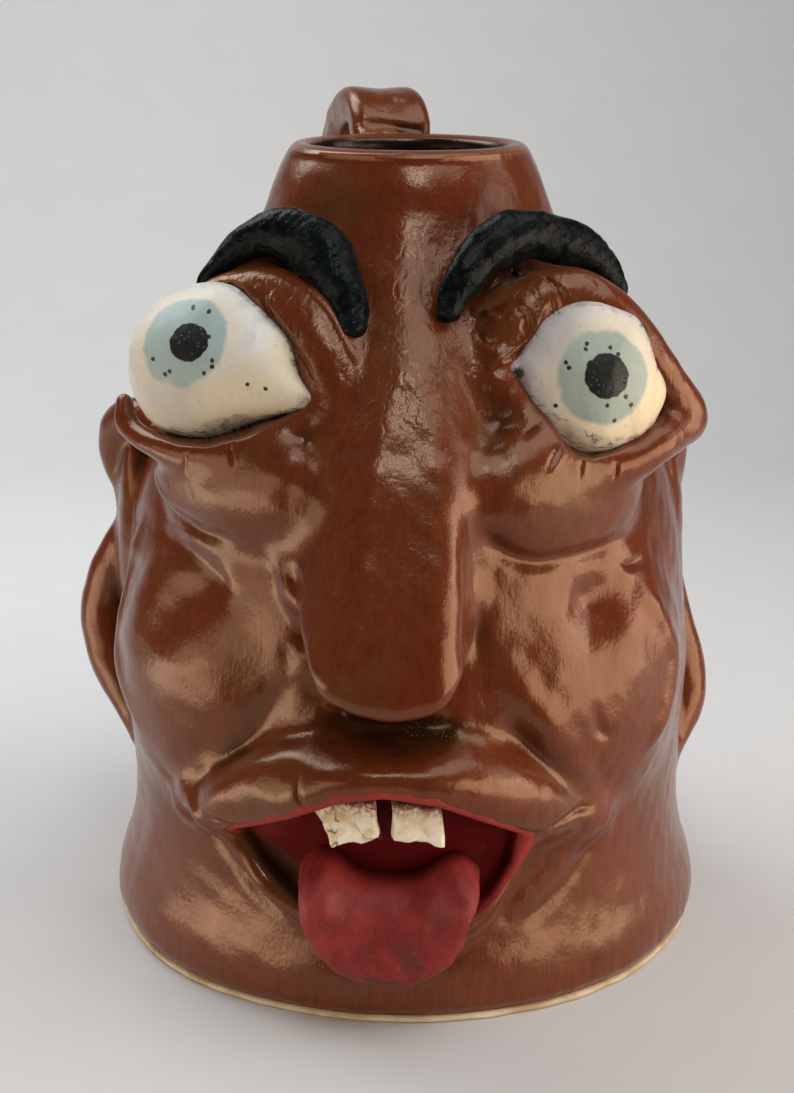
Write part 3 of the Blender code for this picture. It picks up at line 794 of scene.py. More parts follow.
def ring_quads(rows, columns):
    """Quads between rings of vertices, and from the last ring back to the first."""
    index = np.arange(rows * columns).reshape(rows, columns)
    right, above = np.roll(index, -1, axis=1), np.roll(index, -1, axis=0)
    return np.stack([index, right, np.roll(above, -1, axis=1), above], -1).reshape(-1, 4)


def wall_piece():
    """The hollow wall: rings up the outside, over the lip, down the inside and under the foot."""
    front = np.linspace(-100, 100, int(250 / COARSE), endpoint=False)
    behind = np.linspace(100, 260, int(84 / COARSE), endpoint=False)
    turns = np.radians(np.concatenate([front, behind]))
    heights = np.linspace(2.5, 226.0, int(210 / COARSE))
    outside = [(wall_radius(z), z) for z in heights]
    lip = smooth_rows([outside[-1], *RIM_LIP], 3)[1:].tolist()
    inside = [(wall_radius(z) - WALL_THICKNESS, z) for z in np.linspace(209, 14, int(60 / COARSE))]
    foot_inside = FOOT_RADIUS - WALL_THICKNESS
    foot = [(foot_inside - 2, SLAB_TOP + GAP), (foot_inside, SLAB_TOP + GAP), (foot_inside, 2.2),
            (85.4, 2.2), (86.2, 2.2)]
    rows = [*outside, *lip, *inside, *foot]
    ring = np.stack([np.sin(turns), -np.cos(turns), 0 * turns], 1)
    vertices = []
    for index, (radius, height) in enumerate(rows):
        row = ring * radius
        row[:, 2] = height
        if index >= len(outside):
            row = row + ring * 0.5 * unevenness(row, 70, 3)[:, None]
        vertices.append(row)
    vertices = np.vstack(vertices)
    count = len(outside) * len(turns)
    out = np.tile(ring, (len(outside), 1))

    def field(points):
        total, own, rest = clay(points, "jug_wall")
        return total + DIVE * np.maximum(own - rest, 0)

    reach = np.full(count, 0.0)
    radius = np.hypot(vertices[:count, 0], vertices[:count, 1])
    for _ in range(7):
        spot = vertices[:count].copy()
        spot[:, :2] = out[:, :2] * (radius + reach)[:, None]
        reach = np.clip(reach - 0.8 * in_chunks(field, spot), -9, 26)
    vertices[:count, :2] = out[:, :2] * (radius + reach)[:, None]
    obj = new_mesh("clay_jug_wall", vertices, ring_quads(len(rows), len(turns)))
    inner = np.repeat(np.arange(len(rows)) >= len(outside) + LIP_CREST_ROWS, len(turns))
    mark_form(obj, vertices, total_clay, 1.0 - inner)
    return obj


# ---- The pieces that aren't brown clay ----

def lump_piece(name, distance, lump):
    return field_piece(name, distance, lump.low - 2, lump.high + 2, 0.7)


def eyeball_piece(side):
    return lump_piece(side + "_eyeball", EYEBALLS[side].distance, EYEBALLS[side])


BROWS = {
    "left": [
        (-56, -32, 189.6, 2.0, 2.4), (-54, -32.8, 195, 2.8, 3), (-50.6, -33.6, 199.2, 3.4, 3.4),
        (-46, -34.4, 203, 4.2, 3.9), (-41.2, -35.4, 205.8, 5.2, 4.6), (-36, -37, 207.2, 6.8, 5.2),
        (-31, -39.4, 206.6, 8.4, 5.8), (-26, -42.4, 204, 9.2, 6.2), (-21.8, -46, 200.6, 8.4, 6),
        (-18.6, -49.2, 197, 7, 5.6), (-16.6, -52.4, 192.8, 5.8, 5), (-15.4, -55, 189, 4.8, 4.4),
        (-14.6, -57, 185.8, 3.6, 3.4)],
    "right": [
        (10.4, -56, 190, 3.2, 3.4), (12, -54.6, 194.6, 4.2, 4.2), (14.8, -52.4, 198.8, 5.4, 4.9),
        (18.2, -49.6, 202.8, 6.4, 5.4), (22.4, -46.8, 205.8, 7.2, 5.6), (27.4, -43.8, 207.4, 7.1, 5.6),
        (32.5, -41, 207.6, 6.4, 5.2), (38.7, -38, 206.4, 6.2, 5), (44.4, -35, 204.6, 6, 4.8),
        (49.6, -32.8, 201.2, 5.2, 4.4), (53.8, -31.4, 197, 4, 3.7), (57, -31, 192.4, 2.8, 2.8)],
}


def brow_piece(side):
    bar = roll(BROWS[side], 4.0)

    def field(points):
        return bar.distance(points) + 0.5 * unevenness(points, 13, 41 + len(side)) \
            + 0.12 * unevenness(points, 3.2, 43)

    return lump_piece(side + "_brow", field, bar)


TONGUE_OUTLINE = [
    (-28.6, 46), (-28.8, 42.5), (-27.8, 37), (-26.4, 31.5), (-23.4, 26), (-18.6, 21.6), (-12, 18.6),
    (-5, 17.6), (1.6, 18.2), (7.8, 20.6), (12.4, 24.4), (15.2, 29.6), (17, 36), (19.4, 41.5), (20, 45),
    (18.8, 52), (18, 60), (-27, 60), (-27.8, 52),
]
TONGUE_MIDDLE = -4.6
TONGUE_LINE = [  # (y, z) down its middle, from the root to the tip
    (-70, 40.4), (-79, 40.2), (-85.5, 39.4), (-90.4, 37.2), (-93.6, 33.6), (-95.4, 29), (-96.4, 24),
    (-96.4, 16),
]
TONGUE_THICKNESS = 4.2
TONGUE_ROUNDING = 3.8


def tongue_piece():
    middle = Path([(TONGUE_MIDDLE, *row) for row in TONGUE_LINE], outward=(1, 0, 0))

    def field(points):
        """A slab along the line, cut to the outline, with a raised lobe at each side and a dent between."""
        x, y, z = points.T
        off = np.abs(x - TONGUE_MIDDLE)
        aside = np.minimum(off / 22, 1.2) ** 2.2
        high = ease(z, 26, 46)
        lobes = 5.5 * high * np.exp(-(((off - 17) / 6.5) ** 2))
        dent = np.exp(-((off / 8) ** 2) - ((z - 32) / 9) ** 2)
        flat = np.stack([0 * x + TONGUE_MIDDLE, y + (1.5 + 3.5 * high) * aside - dent, z - lobes], 1)
        thick = lengths(middle.nearest(flat)[0]) - TONGUE_THICKNESS
        body = rounded(TONGUE_ROUNDING, thick, outline_distance(points, TONGUE_OUTLINE))
        return body + 0.3 * unevenness(points, 16, 51) + 0.08 * unevenness(points, 4, 52)

    return field_piece("tongue", field, (-31, -106, 15), (22, -70, 56), 0.7)


TEETH = {  # outline from the front, and the y of its front
    "left": ([(-24.6, 66), (-8.6, 66.6), (-7.6, 62), (-7.4, 57.6), (-12, 55.9), (-16, 56), (-19.6, 55.2),
              (-21.8, 60.4)], -92.5),
    "right": ([(-4.2, 66), (8.4, 65.4), (9.6, 60), (9.9, 54.8), (5.4, 55.9), (0.5, 56.6), (-3.6, 56.6)],
              -92.6),
}
TOOTH_THICKNESS = 4.4


def tooth_piece(side):
    corners, front = TEETH[side]
    flat = np.array(corners)

    def field(points):
        edge = outline_distance(points, corners)
        middle = front + TOOTH_THICKNESS / 2 + 0.18 * (points[:, 2] - 60)
        slab = np.abs(points[:, 1] - middle) - TOOTH_THICKNESS / 2
        chips = 0.35 * unevenness(points, 6.5, 61 + len(side)) + 0.12 * unevenness(points, 2.0, 63)
        return smooth_max(edge, slab, 1.4) + chips

    low = (flat[:, 0].min() - 2, front - 4, flat[:, 1].min() - 2)
    high = (flat[:, 0].max() + 2, front + 8, flat[:, 1].max() + 2)
    return field_piece(side + "_tooth", field, low, high, 0.5)


RED_OUTLINE = [
    (-50, 53.6), (-45, 57), (-36, 62.4), (-28, 66.8), (-17, 72.2), (-6, 73.6), (8, 71.2), (22, 63.4),
    (31, 57.2), (34, 55), (33, 49), (29, 42), (22.5, 34.5), (11, 28), (-5, 26), (-20, 28), (-31, 34),
    (-38, 41), (-44, 47.5),
]
COAT = 0.7


def lining_piece():
    """The red slip in the mouth: a coat over the clay, thinning out at the painted edge of the lips."""
    def field(points):
        total = total_clay(points)
        edge = outline_distance(points, RED_OUTLINE) + 0.4 * unevenness(points, 9, 71)
        coat = total - COAT * ease(-edge, -0.2, 2.0)
        return np.maximum(np.maximum(coat, edge), np.maximum(-total - 1.6, points[:, 1] + 60))

    return field_piece("mouth_lining", field, (-54, -102, 22), (40, -60, 77), 0.7)


def slab_piece():
    turns = np.radians(np.arange(0, 360, 1.5 * COARSE))
    ring = np.stack([np.sin(turns), -np.cos(turns), 0 * turns], 1)
    inner = FOOT_RADIUS - WALL_THICKNESS - GAP
    profile = [(0.02, 0.0), (60, 0.0), (85.6, 0.0), (86.8, 0.35), (87.2, 0.9), (86.9, 1.5), (86.2, BARE_FOOT),
               (inner + GAP, BARE_FOOT), (inner, SLAB_TOP - 1), (inner - 1, SLAB_TOP), (60, SLAB_TOP),
               (0.02, SLAB_TOP)]
    vertices = []
    for radius, height in profile:
        row = ring * radius
        row[:, 2] = height
        if radius > 84:
            row = row + ring * (0.5 * unevenness(row, 70, 3) + 0.25 * unevenness(row, 12, 81))[:, None]
        vertices.append(row)
    return new_mesh("clay_base_slab", np.vstack(vertices), ring_quads(len(profile), len(turns)))


# ---- Materials ----


class Look:
    """A material built from nodes, on coordinates in the object's own millimetres."""

    def __init__(self, name):
        self.material = bpy.data.materials.new(name)
        self.material.use_nodes = True
        self.tree = self.material.node_tree
        self.shader = self.tree.nodes["Principled BSDF"]
        place = self.node("ShaderNodeTexCoord").outputs["Object"]
        self.place = self.vector("SCALE", place, Scale=1 / MM)

    def node(self, kind, inputs=None, **settings):
        made = self.tree.nodes.new(kind)
        for key, value in settings.items():
            setattr(made, key, value)
        for key, value in (inputs or {}).items():
            if isinstance(value, bpy.types.NodeSocket):
                self.tree.links.new(value, made.inputs[key])
            else:
                made.inputs[key].default_value = value
        return made

    def vector(self, operation, a, b=None, **named):
        inputs = {0: a, **named} if b is None else {0: a, 1: b, **named}
        made = self.node("ShaderNodeVectorMath", inputs, operation=operation)
        return made.outputs["Value" if operation in ("LENGTH", "DOT_PRODUCT", "DISTANCE") else "Vector"]

    def split(self, value):
        return self.node("ShaderNodeSeparateXYZ", {0: value}).outputs

    def math(self, operation, a, b=0.0):
        return self.node("ShaderNodeMath", {0: a, 1: b}, operation=operation).outputs[0]

    def times(self, a, b):
        return self.math("MULTIPLY", a, b)

    def plus(self, first, *others):
        for other in others:
            first = self.math("ADD", first, other)
        return first

    def away(self, value, middle):
        """How far the value is from this middle, on either side."""
        return self.math("ABSOLUTE", self.math("SUBTRACT", value, middle))

    def noise(self, size, detail=3.0, stretch=(1, 1, 1), shift=0.0, bend=0.0):
        """Noise of about this size in millimetres, stretched along an axis by the given factors."""
        place = self.vector("MULTIPLY", self.place, tuple(1 / (size * s) for s in stretch))
        place = self.vector("ADD", place, (shift, shift * 1.7, -shift))
        inputs = {"Vector": place, "Scale": 1.0, "Detail": detail, "Distortion": bend}
        return self.node("ShaderNodeTexNoise", inputs).outputs["Fac"]

    def cells(self, size, shift=0.0):
        """Distance to the nearest of scattered points, in cells of this size in millimetres."""
        place = self.vector("ADD", self.vector("SCALE", self.place, Scale=1 / size), (shift, -shift, shift))
        return self.node("ShaderNodeTexVoronoi", {"Vector": place, "Scale": 1.0}).outputs["Distance"]

    def step(self, value, low, high):
        """0 where the value is at low, 1 at high, eased between."""
        inputs = {"Value": value, "From Min": low, "From Max": high}
        return self.node("ShaderNodeMapRange", inputs, interpolation_type="SMOOTHSTEP").outputs["Result"]

    def between(self, value, low, high):
        """The value from 0 to 1 spread over low to high."""
        inputs = {"Value": value, "To Min": low, "To Max": high}
        return self.node("ShaderNodeMapRange", inputs).outputs["Result"]

    def mix(self, factor, a, b):
        a, b = ((*c, 1) if isinstance(c, tuple) else c for c in (a, b))
        return self.node("ShaderNodeMix", {0: factor, 6: a, 7: b}, data_type="RGBA").outputs[2]

    def coat(self, colour, tone, mask, strength=1.0):
        """The colour with this tone over it, where the mask is 1."""
        return self.mix(mask if strength == 1.0 else self.times(mask, strength), colour, tone)

    def coats(self, colour, *rows):
        """Coats over the colour, as (tone, strength, value, low, high), each on where its value is high."""
        for tone, strength, value, low, high in rows:
            colour = self.coat(colour, tone, self.step(value, low, high), strength)
        return colour

    def form(self):
        """Ridge, crease, hollow and the last channel of the mesh's form attribute."""
        attribute = self.node("ShaderNodeAttribute", attribute_name="form")
        ridge, crease, hollow = self.node("ShaderNodeSeparateColor", {0: attribute.outputs["Color"]}).outputs
        return ridge, crease, hollow, attribute.outputs["Alpha"]

    def finish(self, colour, roughness, height, specular=0.5):
        """Height is in millimetres."""
        bump = self.node("ShaderNodeBump", {"Height": height, "Distance": MM, "Strength": 1.0})
        links = {"Base Color": colour, "Roughness": roughness, "Normal": bump.outputs["Normal"]}
        for name, socket in links.items():
            self.tree.links.new(socket, self.shader.inputs[name])
        self.shader.inputs["Specular IOR Level"].default_value = specular
        return self.material


GLAZE_IOR = 1.58
GLAZE_TINT = (1.0, 0.72, 0.52, 1)
GOLD_SPECKS = [((5, -88, 84), (15, 10, 3.6)), ((77, -42, 153), (6, 8, 4))]  # middle and radii of each patch
# Painted shadow in the groove under the nose: its middle and radii
UNDER_NOSE_SHADOW = ((-4, -88, 84.5), (25, 34, 4.6))
BRUSHED_BAND = (150, 172), (214, 205)  # heights over which the brush's marks come and go


def brown_glaze():
    look = Look("brown_glaze")
    ridge, crease, hollow, outside = look.form()
    streaks = look.noise(1.5, 4, (1, 1, 9), bend=0.8)
    fine = look.noise(0.35, 3, (1, 1, 18), shift=4.0, bend=0.4)
    mottle = look.noise(5.0, 4, (1, 1, 1.8), shift=9.0)
    patches = look.noise(38, 3, shift=2.0)
    olive = look.noise(26, 4, shift=17.0, bend=0.5)
    colour = look.coats(
        look.mix(look.step(streaks, 0.30, 0.72), (0.112, 0.023, 0.007), (0.142, 0.032, 0.010)),
        ((0.150, 0.016, 0.004), 0.35, patches, 0.45, 0.70), ((0.110, 0.046, 0.013), 0.60, olive, 0.48, 0.70),
        ((0.065, 0.012, 0.005), 0.35, mottle, 0.45, 0.75), ((0.240, 0.080, 0.034), 0.10, fine, 0.55, 0.75))
    # Glaze runs thin and pale on ridges. Hollows and creases are darkened, partly as glaze pooled in them and
    # partly as painted shade.
    thin = look.times(look.step(ridge, 0.14, 0.50), look.between(mottle, 0.2, 1.0))
    colour = look.coats(
        look.coat(colour, (0.330, 0.125, 0.045), thin, 0.5),
        ((0.050, 0.018, 0.006), 0.50, hollow, 0.25, 0.85), ((0.018, 0.004, 0.002), 0.75, crease, 0.15, 0.60))

    def patch(middle, radii):
        off = look.vector("DIVIDE", look.vector("SUBTRACT", look.place, middle), radii)
        return look.step(look.plus(look.vector("LENGTH", off), look.between(mottle, -0.4, 0.4)), 1.1, 0.5)

    # Painted shadow under the nose
    colour = look.coat(colour, (0.012, 0.005, 0.002), patch(*UNDER_NOSE_SHADOW), 0.85)
    grain = look.step(look.noise(0.55, 2, shift=3.0), 0.56, 0.66)
    for middle, radii in GOLD_SPECKS:
        spot = patch(middle, radii)
        colour = look.coat(colour, (0.022, 0.016, 0.005), spot, 0.5)
        colour = look.coat(colour, (0.15, 0.11, 0.02), look.times(spot, grain))
    colour = look.mix(outside, (0.012, 0.005, 0.004), colour)
    height_up = look.split(look.place)["Z"]
    brushed = look.times(*[look.step(height_up, *ends) for ends in BRUSHED_BAND])
    runs = look.times(look.noise(3.2, 3, (1, 1, 2.6), shift=21.0, bend=0.9), brushed)
    peel = look.noise(1.3, 3, shift=30.0)
    rough = look.plus(look.between(mottle, 0.08, 0.22), look.between(peel, 0.0, 0.12))
    height = look.plus(look.between(streaks, 0, 0.05), look.between(fine, 0, 0.03),
                       look.between(peel, 0, 0.08), look.between(mottle, 0, 0.16), look.times(runs, 0.35))
    look.shader.inputs["IOR"].default_value = GLAZE_IOR
    look.shader.inputs["Specular Tint"].default_value = GLAZE_TINT
    return look.finish(colour, rough, height)


def bare_clay():
    look = Look("bare_clay")
    grain = look.noise(0.5, 4)
    stain = look.noise(9, 3, shift=3.0)
    colour = look.mix(look.step(stain, 0.35, 0.7), (0.68, 0.57, 0.42), (0.50, 0.35, 0.21))
    colour = look.coats(colour, ((0.36, 0.22, 0.12), 0.5, grain, 0.55, 0.75))
    return look.finish(colour, look.between(grain, 0.75, 0.95), look.between(grain, 0, 0.12), specular=0.3)


# Where each iris and pupil sit on the ball, as directions from its middle, and their radii
IRISES = {
    "left": ((-0.228, -0.85, 0.474), 12.2, (-0.146, -0.888, 0.435), 5.3),
    "right": ((0.205, -0.96, 0.178), 12.2, (0.225, -0.955, 0.191), 5.9),
}
EYE_COLOURS = {  # iris, white, yellowed white, and the grey cloud with its middle
    "left": ((0.34, 0.44, 0.43), (0.68, 0.68, 0.67), (0.72, 0.64, 0.48), (0.44, 0.41, 0.41), (-62, -56, 166)),
    "right": ((0.34, 0.41, 0.36), (0.66, 0.64, 0.63), (0.76, 0.66, 0.46), (0.45, 0.42, 0.45), (38, -58, 185)),
}
# Painted shade in each eye's inner corner, and specks of black, as x and z seen from the front
SHADED_INNER_CORNERS = {"left": (-24.6, 166.6), "right": (28.6, 174.4)}
EYE_SPECKS = {
    "left": [(-56.6, 189.8), (-52.3, 189.1), (-52, 183.3), (-67.1, 176.7), (-63.8, 173.2), (-62.4, 174.1),
             (-51, 177.6), (-51.1, 176.1), (-53.2, 174.3), (-41.8, 171.9), (-37, 170.9), (-55, 154)],
    "right": [(46, 182.5), (45.6, 181.1), (52, 181.5), (54, 179.8), (40.5, 177.8), (41.3, 176.6),
              (56.3, 168.9), (51.4, 166.9), (57.9, 166.5), (53.5, 162.7), (48.7, 157.1), (38.1, 166.6)],
}


def eye_glaze(side):
    gaze, iris_radius, pupil_gaze, pupil_radius = IRISES[side]
    iris_colour, white, yellow, grey, grey_middle = EYE_COLOURS[side]
    look = Look(side + "_eye_glaze")
    near_clay = look.form()[3]
    blotches = look.noise(7, 5, shift=6.0, bend=0.4)
    cloudy = look.noise(16, 3, shift=1.0)
    grain = look.noise(0.8, 3, shift=5.0)
    off = look.vector("SUBTRACT", look.place, tuple(EYES[side]))
    to_right, depth, up = look.split(off)
    facing = look.vector("MULTIPLY", look.place, (1, 0, 1))

    def scaled(colour, factor):
        return tuple(factor * np.array(colour))

    def from_axis(direction):
        """How far points are from a line out of the ball's middle, in front of it."""
        direction = tuple(unit(np.array(direction)))
        along = look.vector("DOT_PRODUCT", off, direction)
        across = look.vector("SUBTRACT", off, look.vector("SCALE", direction, Scale=along))
        return look.plus(look.vector("LENGTH", across), look.step(along, 2, 0))

    # The white: yellow low down and about the iris, with a grey cloud and freckles
    around = from_axis(gaze)
    colour = look.mix(look.step(blotches, 0.35, 0.70), white, scaled(white, 0.8))
    low = look.plus(look.times(up, -1 / 30), look.times(to_right, 1 / 70), cloudy)
    ring = look.times(look.step(around, iris_radius + 7, iris_radius + 1.5), 0.6)
    colour = look.coat(colour, yellow, look.math("MAXIMUM", look.step(low, 0.30, 0.75), ring))
    cloud = look.plus(look.vector("DISTANCE", look.place, grey_middle), look.between(blotches, -8, 8))
    freckles = look.noise(1.3, 3, shift=3.0)
    colour = look.coats(colour, (grey, 0.6, cloud, 14, 3), ((0.42, 0.29, 0.15), 0.35, freckles, 0.60, 0.74))

    # The iris, the specks and the pupil
    pale = look.mix(look.step(cloudy, 0.35, 0.7), iris_colour, scaled(iris_colour, 1.12))
    pale = look.coats(pale, (scaled(iris_colour, 0.82), 0.5, blotches, 0.5, 0.7))
    shape = look.plus(around, look.between(look.noise(5, 3, shift=8.0), -1.4, 1.4))
    colour = look.coat(colour, pale, look.step(shape, iris_radius + 0.8, iris_radius - 0.8))
    ragged = look.between(look.noise(0.9, 2, shift=12.0), -0.32, 0.32)
    gaps = [look.vector("DISTANCE", facing, (x, 0, z)) for x, z in EYE_SPECKS[side]]
    nearest = functools.reduce(lambda a, b: look.math("MINIMUM", a, b), gaps)
    specks = look.times(look.step(look.plus(nearest, ragged), 0.68, 0.44), look.step(depth, 0, -2))
    colour = look.coat(colour, (0.018, 0.024, 0.028), specks)
    edge = look.plus(from_axis(pupil_gaze), look.between(look.noise(2.4, 3), -0.8, 0.8))
    pupil = look.step(edge, pupil_radius + 0.15, pupil_radius - 0.15)
    pits = look.step(look.cells(1.5), 0.30, 0.12)
    black = look.mix(look.times(pits, 0.5), (0.007, 0.008, 0.009), (0.05, 0.05, 0.03))
    colour = look.coat(colour, black, pupil)

    # The stained and cracked rim against the lids, greyed towards them, with painted shade at its very edge
    # and in the inner corner
    rim = look.plus(near_clay, look.between(look.noise(2.5, 3, shift=2.0), -0.30, 0.22))
    stained = look.times(look.step(rim, 0.15, 0.60), look.step(look.noise(5, 3, shift=14.0), 0.50, 0.66))
    colour = look.coat(colour, (0.24, 0.19, 0.09), stained, 0.55)
    colour = look.coats(colour, ((0.46, 0.41, 0.40), 0.5, rim, 0.35, 0.85))
    crack = look.away(look.noise(7, 3, (1, 1, 0.5), shift=23.0, bend=0.6), 0.5)
    crack = look.times(look.step(crack, 0.024, 0.004), look.step(rim, 0.45, 0.80))
    # Real cracks, and painted shade along the very edge against the lids
    crack_and_edge_shade = look.math("MAXIMUM", look.times(crack, 0.7), look.step(rim, 0.94, 1.06))
    colour = look.coat(colour, (0.060, 0.042, 0.036), crack_and_edge_shade)
    # Painted shade deep in the inner corner, where the ball meets the lids
    x, z = SHADED_INNER_CORNERS[side]
    corner = look.plus(look.vector("DISTANCE", facing, (x, 0, z)), look.times(ragged, 3))
    colour = look.coats(colour, ((0.20, 0.13, 0.12), 0.6, corner, 5.5, 1.5),
                        ((0.030, 0.022, 0.022), 1.0, corner, 1.9, 0.9))
    height = look.plus(look.between(grain, 0, 0.06), look.between(blotches, 0, 0.25), look.times(crack, -0.3),
                       look.times(look.math("MAXIMUM", pupil, specks), 0.14),
                       look.times(look.times(pits, pupil), -0.2))
    return look.finish(colour, look.between(grain, 0.34, 0.52), height, specular=0.4)


def black_slip():
    """Black slip on the brows, worn through to the clay where their undersides meet it."""
    look = Look("black_slip")
    near_clay = look.form()[3]
    lumps = look.noise(3.2, 4, shift=3.0)
    grain = look.noise(0.7, 4, shift=1.0)
    colour = look.mix(look.step(lumps, 0.35, 0.7), (0.0030, 0.0040, 0.0045), (0.0085, 0.0120, 0.0125))
    colour = look.coats(colour, ((0.014, 0.018, 0.018), 0.3, grain, 0.55, 0.8))
    up = look.split(look.node("ShaderNodeNewGeometry").outputs["Normal"])["Z"]
    edge = look.plus(near_clay, look.between(lumps, -0.16, 0.06))
    worn = look.times(look.step(edge, 0.95, 1.0), look.step(up, 0.1, -0.3))
    colour = look.coat(colour, (0.20, 0.12, 0.06), worn)
    nicks = look.step(look.cells(2.4, shift=5.0), 0.16, 0.06)
    rough = look.math("SUBTRACT", look.between(lumps, 0.14, 0.26), look.times(nicks, 0.08))
    height = look.plus(look.between(lumps, 0, 0.5), look.between(grain, 0, 0.09), look.times(nicks, 0.22))
    return look.finish(colour, rough, height, specular=0.08)


def red_slip(name, deep, bright, painted_shade, back, roughness, specular, not_painted=None):
    """Red slip with painted shade deeper in the mouth. It can leave the clay unpainted below the mouth's left
    corner.
    """
    look = Look(name)
    ridge, _, _, near_clay = look.form()
    blotches = look.noise(7, 4, shift=2.0)
    grain = look.noise(0.6, 4, shift=4.0)
    x, y, z = look.split(look.place)
    colour = look.coats(
        look.mix(look.step(blotches, 0.3, 0.7), deep, bright),
        ((0.36, 0.085, 0.070), 0.35, grain, 0.55, 0.78), ((0.42, 0.085, 0.070), 0.45, ridge, 0.08, 0.40))
    low = look.times(look.step(z, 33, 27), look.step(look.math("ABSOLUTE", look.plus(x, 3.0)), 15, 6))
    stain = look.times(low, look.step(look.noise(4.5, 4, shift=11.0), 0.44, 0.60))
    colour = look.coat(colour, (0.050, 0.028, 0.018), stain, 0.65)
    # Painted shade: darker deeper into the mouth, and on the tongue also where it lies near the clay
    round_jaw = look.times(look.times(x, x), -0.012)
    painted_shade_amount = look.step(look.plus(y, round_jaw, look.between(blotches, -1.5, 1.5)), *back)
    if not_painted is None:
        painted_shade_amount = look.math("MAXIMUM", painted_shade_amount, look.times(look.step(near_clay, 0.3, 1.0), 0.7))
    colour = look.coat(colour, painted_shade, painted_shade_amount)
    if not_painted is not None:
        bare = look.step(look.plus(look.times(x, 0.5), z), 30.5, 28)
        colour = look.coat(colour, not_painted, look.times(bare, look.step(x, -27, -29)))
    scratches = look.noise(0.8, 2, (1, 1, 9), shift=6.0)
    colour = look.coats(colour, ((0.50, 0.22, 0.16), 0.4, scratches, 0.72, 0.80))
    height = look.plus(look.between(grain, 0, 0.09), look.between(blotches, 0, 0.35))
    return look.finish(colour, look.between(grain, roughness, roughness + 0.2), height, specular=specular)


def tooth_china():
    """Cream china, stained and cracked, with a smear of red slip at the gum."""
    look = Look("tooth_china")
    grain = look.noise(1.2, 4, shift=2.0)
    stain = look.noise(4.5, 4, shift=5.0, bend=1.0)
    colour = look.mix(look.step(stain, 0.40, 0.72), (0.92, 0.86, 0.70), (0.72, 0.56, 0.32))
    crack = look.step(look.away(look.noise(11, 2, shift=9.0, bend=0.5), 0.5), 0.010, 0.002)
    crack = look.times(crack, look.step(stain, 0.40, 0.52))
    colour = look.coat(colour, (0.14, 0.075, 0.03), crack, 0.8)
    smear = look.times(look.step(look.split(look.place)["Z"], 62.0, 65.5), look.step(grain, 0.4, 0.6))
    colour = look.coat(colour, (0.34, 0.07, 0.05), smear, 0.8)
    height = look.plus(look.between(grain, 0, 0.2), look.times(crack, -0.15))
    return look.finish(colour, look.between(grain, 0.3, 0.6), height)


def stage_material():
    look = Look("stage_white")
    weave = look.noise(30, 3)
    colour = look.mix(weave, (0.60, 0.61, 0.62), (0.64, 0.65, 0.66))
    return look.finish(colour, look.between(weave, 0.7, 0.9), look.between(weave, 0, 0.02), specular=0.2)


# ---- Stage, camera and lights ----


CAMERA_PLACE = (-0.002905, -0.56035, 0.27051)
CAMERA_LOOKS_DOWN = 15.973  # degrees
CAMERA_ROLL = 0.004846


def make_camera():
    data = bpy.data.cameras.new("camera")
    data.sensor_fit = "VERTICAL"
    data.sensor_height = 36.0
    data.lens = 64.25
    camera = bpy.data.objects.new("camera", data)
    bpy.context.scene.collection.objects.link(camera)
    tilt = Matrix.Rotation(math.radians(90 - CAMERA_LOOKS_DOWN), 4, "X")
    camera.matrix_world = Matrix.Translation(CAMERA_PLACE) @ tilt @ Matrix.Rotation(CAMERA_ROLL, 4, "Z")
    bpy.context.scene.camera = camera


def area_light(name, place, target, size, power, colour):
    data = bpy.data.lights.new(name, "AREA")
    data.shape = "RECTANGLE"
    data.size, data.size_y = size
    data.energy = power
    data.color = colour
    light = bpy.data.objects.new(name, data)
    aim = (Vector(target) - Vector(place)).to_track_quat("-Z", "Y").to_matrix().to_4x4()
    light.matrix_world = Matrix.Translation(place) @ aim
    light.visible_camera = False
    bpy.context.scene.collection.objects.link(light)


def make_stage():
    """A floor that curves up into a wall behind. It ends in front, where it would throw a haze on the jug."""
    front, bend_from, bend, top, half_width = -0.3, 0.55, 0.5, 1.8, 1.6
    turns = np.linspace(0, math.pi / 2, 12)
    arc = [(bend_from + bend * math.sin(turn), bend - bend * math.cos(turn)) for turn in turns]
    profile = [(front, 0.0), *arc, (bend_from + bend, top)]
    vertices = np.array([(x, y, z) for y, z in profile for x in (-half_width, half_width)]) / MM
    rows = np.arange(len(profile) - 1) * 2
    floor = new_mesh("floor", vertices, np.stack([rows, rows + 1, rows + 3, rows + 2], 1))
    floor.data.materials.append(stage_material())


def make_world():
    world = bpy.data.worlds.new("studio")
    world.use_nodes = True
    background = world.node_tree.nodes["Background"]
    background.inputs["Color"].default_value = (1.0, 0.97, 0.93, 1)
    background.inputs["Strength"].default_value = 0.05
    bpy.context.scene.world = world


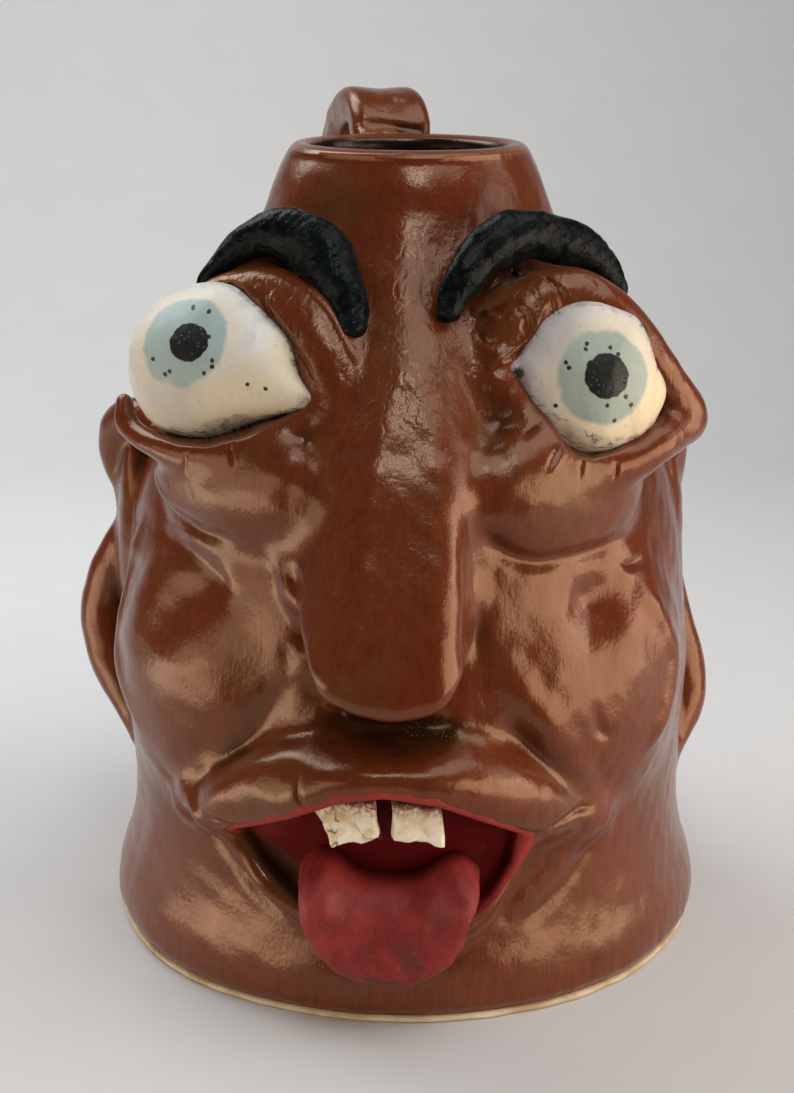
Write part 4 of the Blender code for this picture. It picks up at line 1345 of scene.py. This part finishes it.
make_camera()
make_stage()
make_world()
area_light("top_softbox", (0.32, -0.22, 1.0), (0, 0, 0.12), (0.9, 0.7), 4.4, (0.97, 0.98, 1.0))
area_light("bridge_box", (0.02, -0.66, 1.0), (0, 0, 0.14), (0.22, 0.2), 1.3, (0.90, 0.96, 1.0))
area_light("right_window", (0.46, -0.22, 0.15), (0.03, -0.03, 0.11), (0.56, 0.28), 2.2, (1.0, 0.80, 0.62))
area_light("right_fill", (0.85, -0.1, 0.5), (0, 0, 0.14), (0.4, 0.4), 0.8, (0.97, 0.97, 1.0))
area_light("left_window", (-0.68, -0.46, 0.16), (0, 0, 0.10), (0.8, 0.30), 1.5, (1.0, 0.82, 0.64))
area_light("left_table", (-0.30, -0.13, 0.01), (-0.07, -0.05, 0.11), (0.30, 0.16), 0.5, (1.0, 0.82, 0.64))
area_light("back_wash", (-0.35, 0.30, 0.62), (0.0, 0.62, 0.0), (0.6, 0.5), 4.3, (1.0, 1.0, 0.99))
bpy.context.scene.view_settings.view_transform = "Standard"

brown, black, china = brown_glaze(), black_slip(), tooth_china()
materials = {
    "base_slab": bare_clay(), "left_eyeball": eye_glaze("left"), "right_eyeball": eye_glaze("right"),
    "left_brow": black, "right_brow": black, "left_tooth": china, "right_tooth": china,
    # The third colour of each red slip is its painted shade
    "tongue": red_slip("tongue_red", (0.17, 0.012, 0.011), (0.26, 0.026, 0.022), (0.045, 0.002, 0.002),
                       back=(-92, -84), roughness=0.42, specular=0.3),
    "mouth_lining": red_slip("lining_red", (0.16, 0.006, 0.006), (0.25, 0.014, 0.012), (0.100, 0.003, 0.004),
                             back=(-96, -88), roughness=0.5, specular=0.08, not_painted=(0.07, 0.028, 0.009)),
}

coarser = {"handle": 1.2, "left_ear": 1.1, "right_ear": 1.1, "left_cheek": 1.1, "right_cheek": 1.1}
pieces = {"jug_wall": (wall_piece(), "brown_glaze"), "base_slab": (slab_piece(), "bare_clay"),
          "tongue": (tongue_piece(), "red_slip"), "mouth_lining": (lining_piece(), "red_slip")}
for name in LUMPS:
    pieces[name] = (clay_piece(name, coarser.get(name, 0.8)), "brown_glaze")
for side in ("left", "right"):
    pieces[side + "_eyeball"] = (eyeball_piece(side), "eye_glaze")
    pieces[side + "_brow"] = (brow_piece(side), "black_slip")
    pieces[side + "_tooth"] = (tooth_piece(side), "tooth_china")
for name, (piece, slot) in pieces.items():
    piece.data.materials.append(materials.get(name, brown))
    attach(piece, "root")
    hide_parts(name)
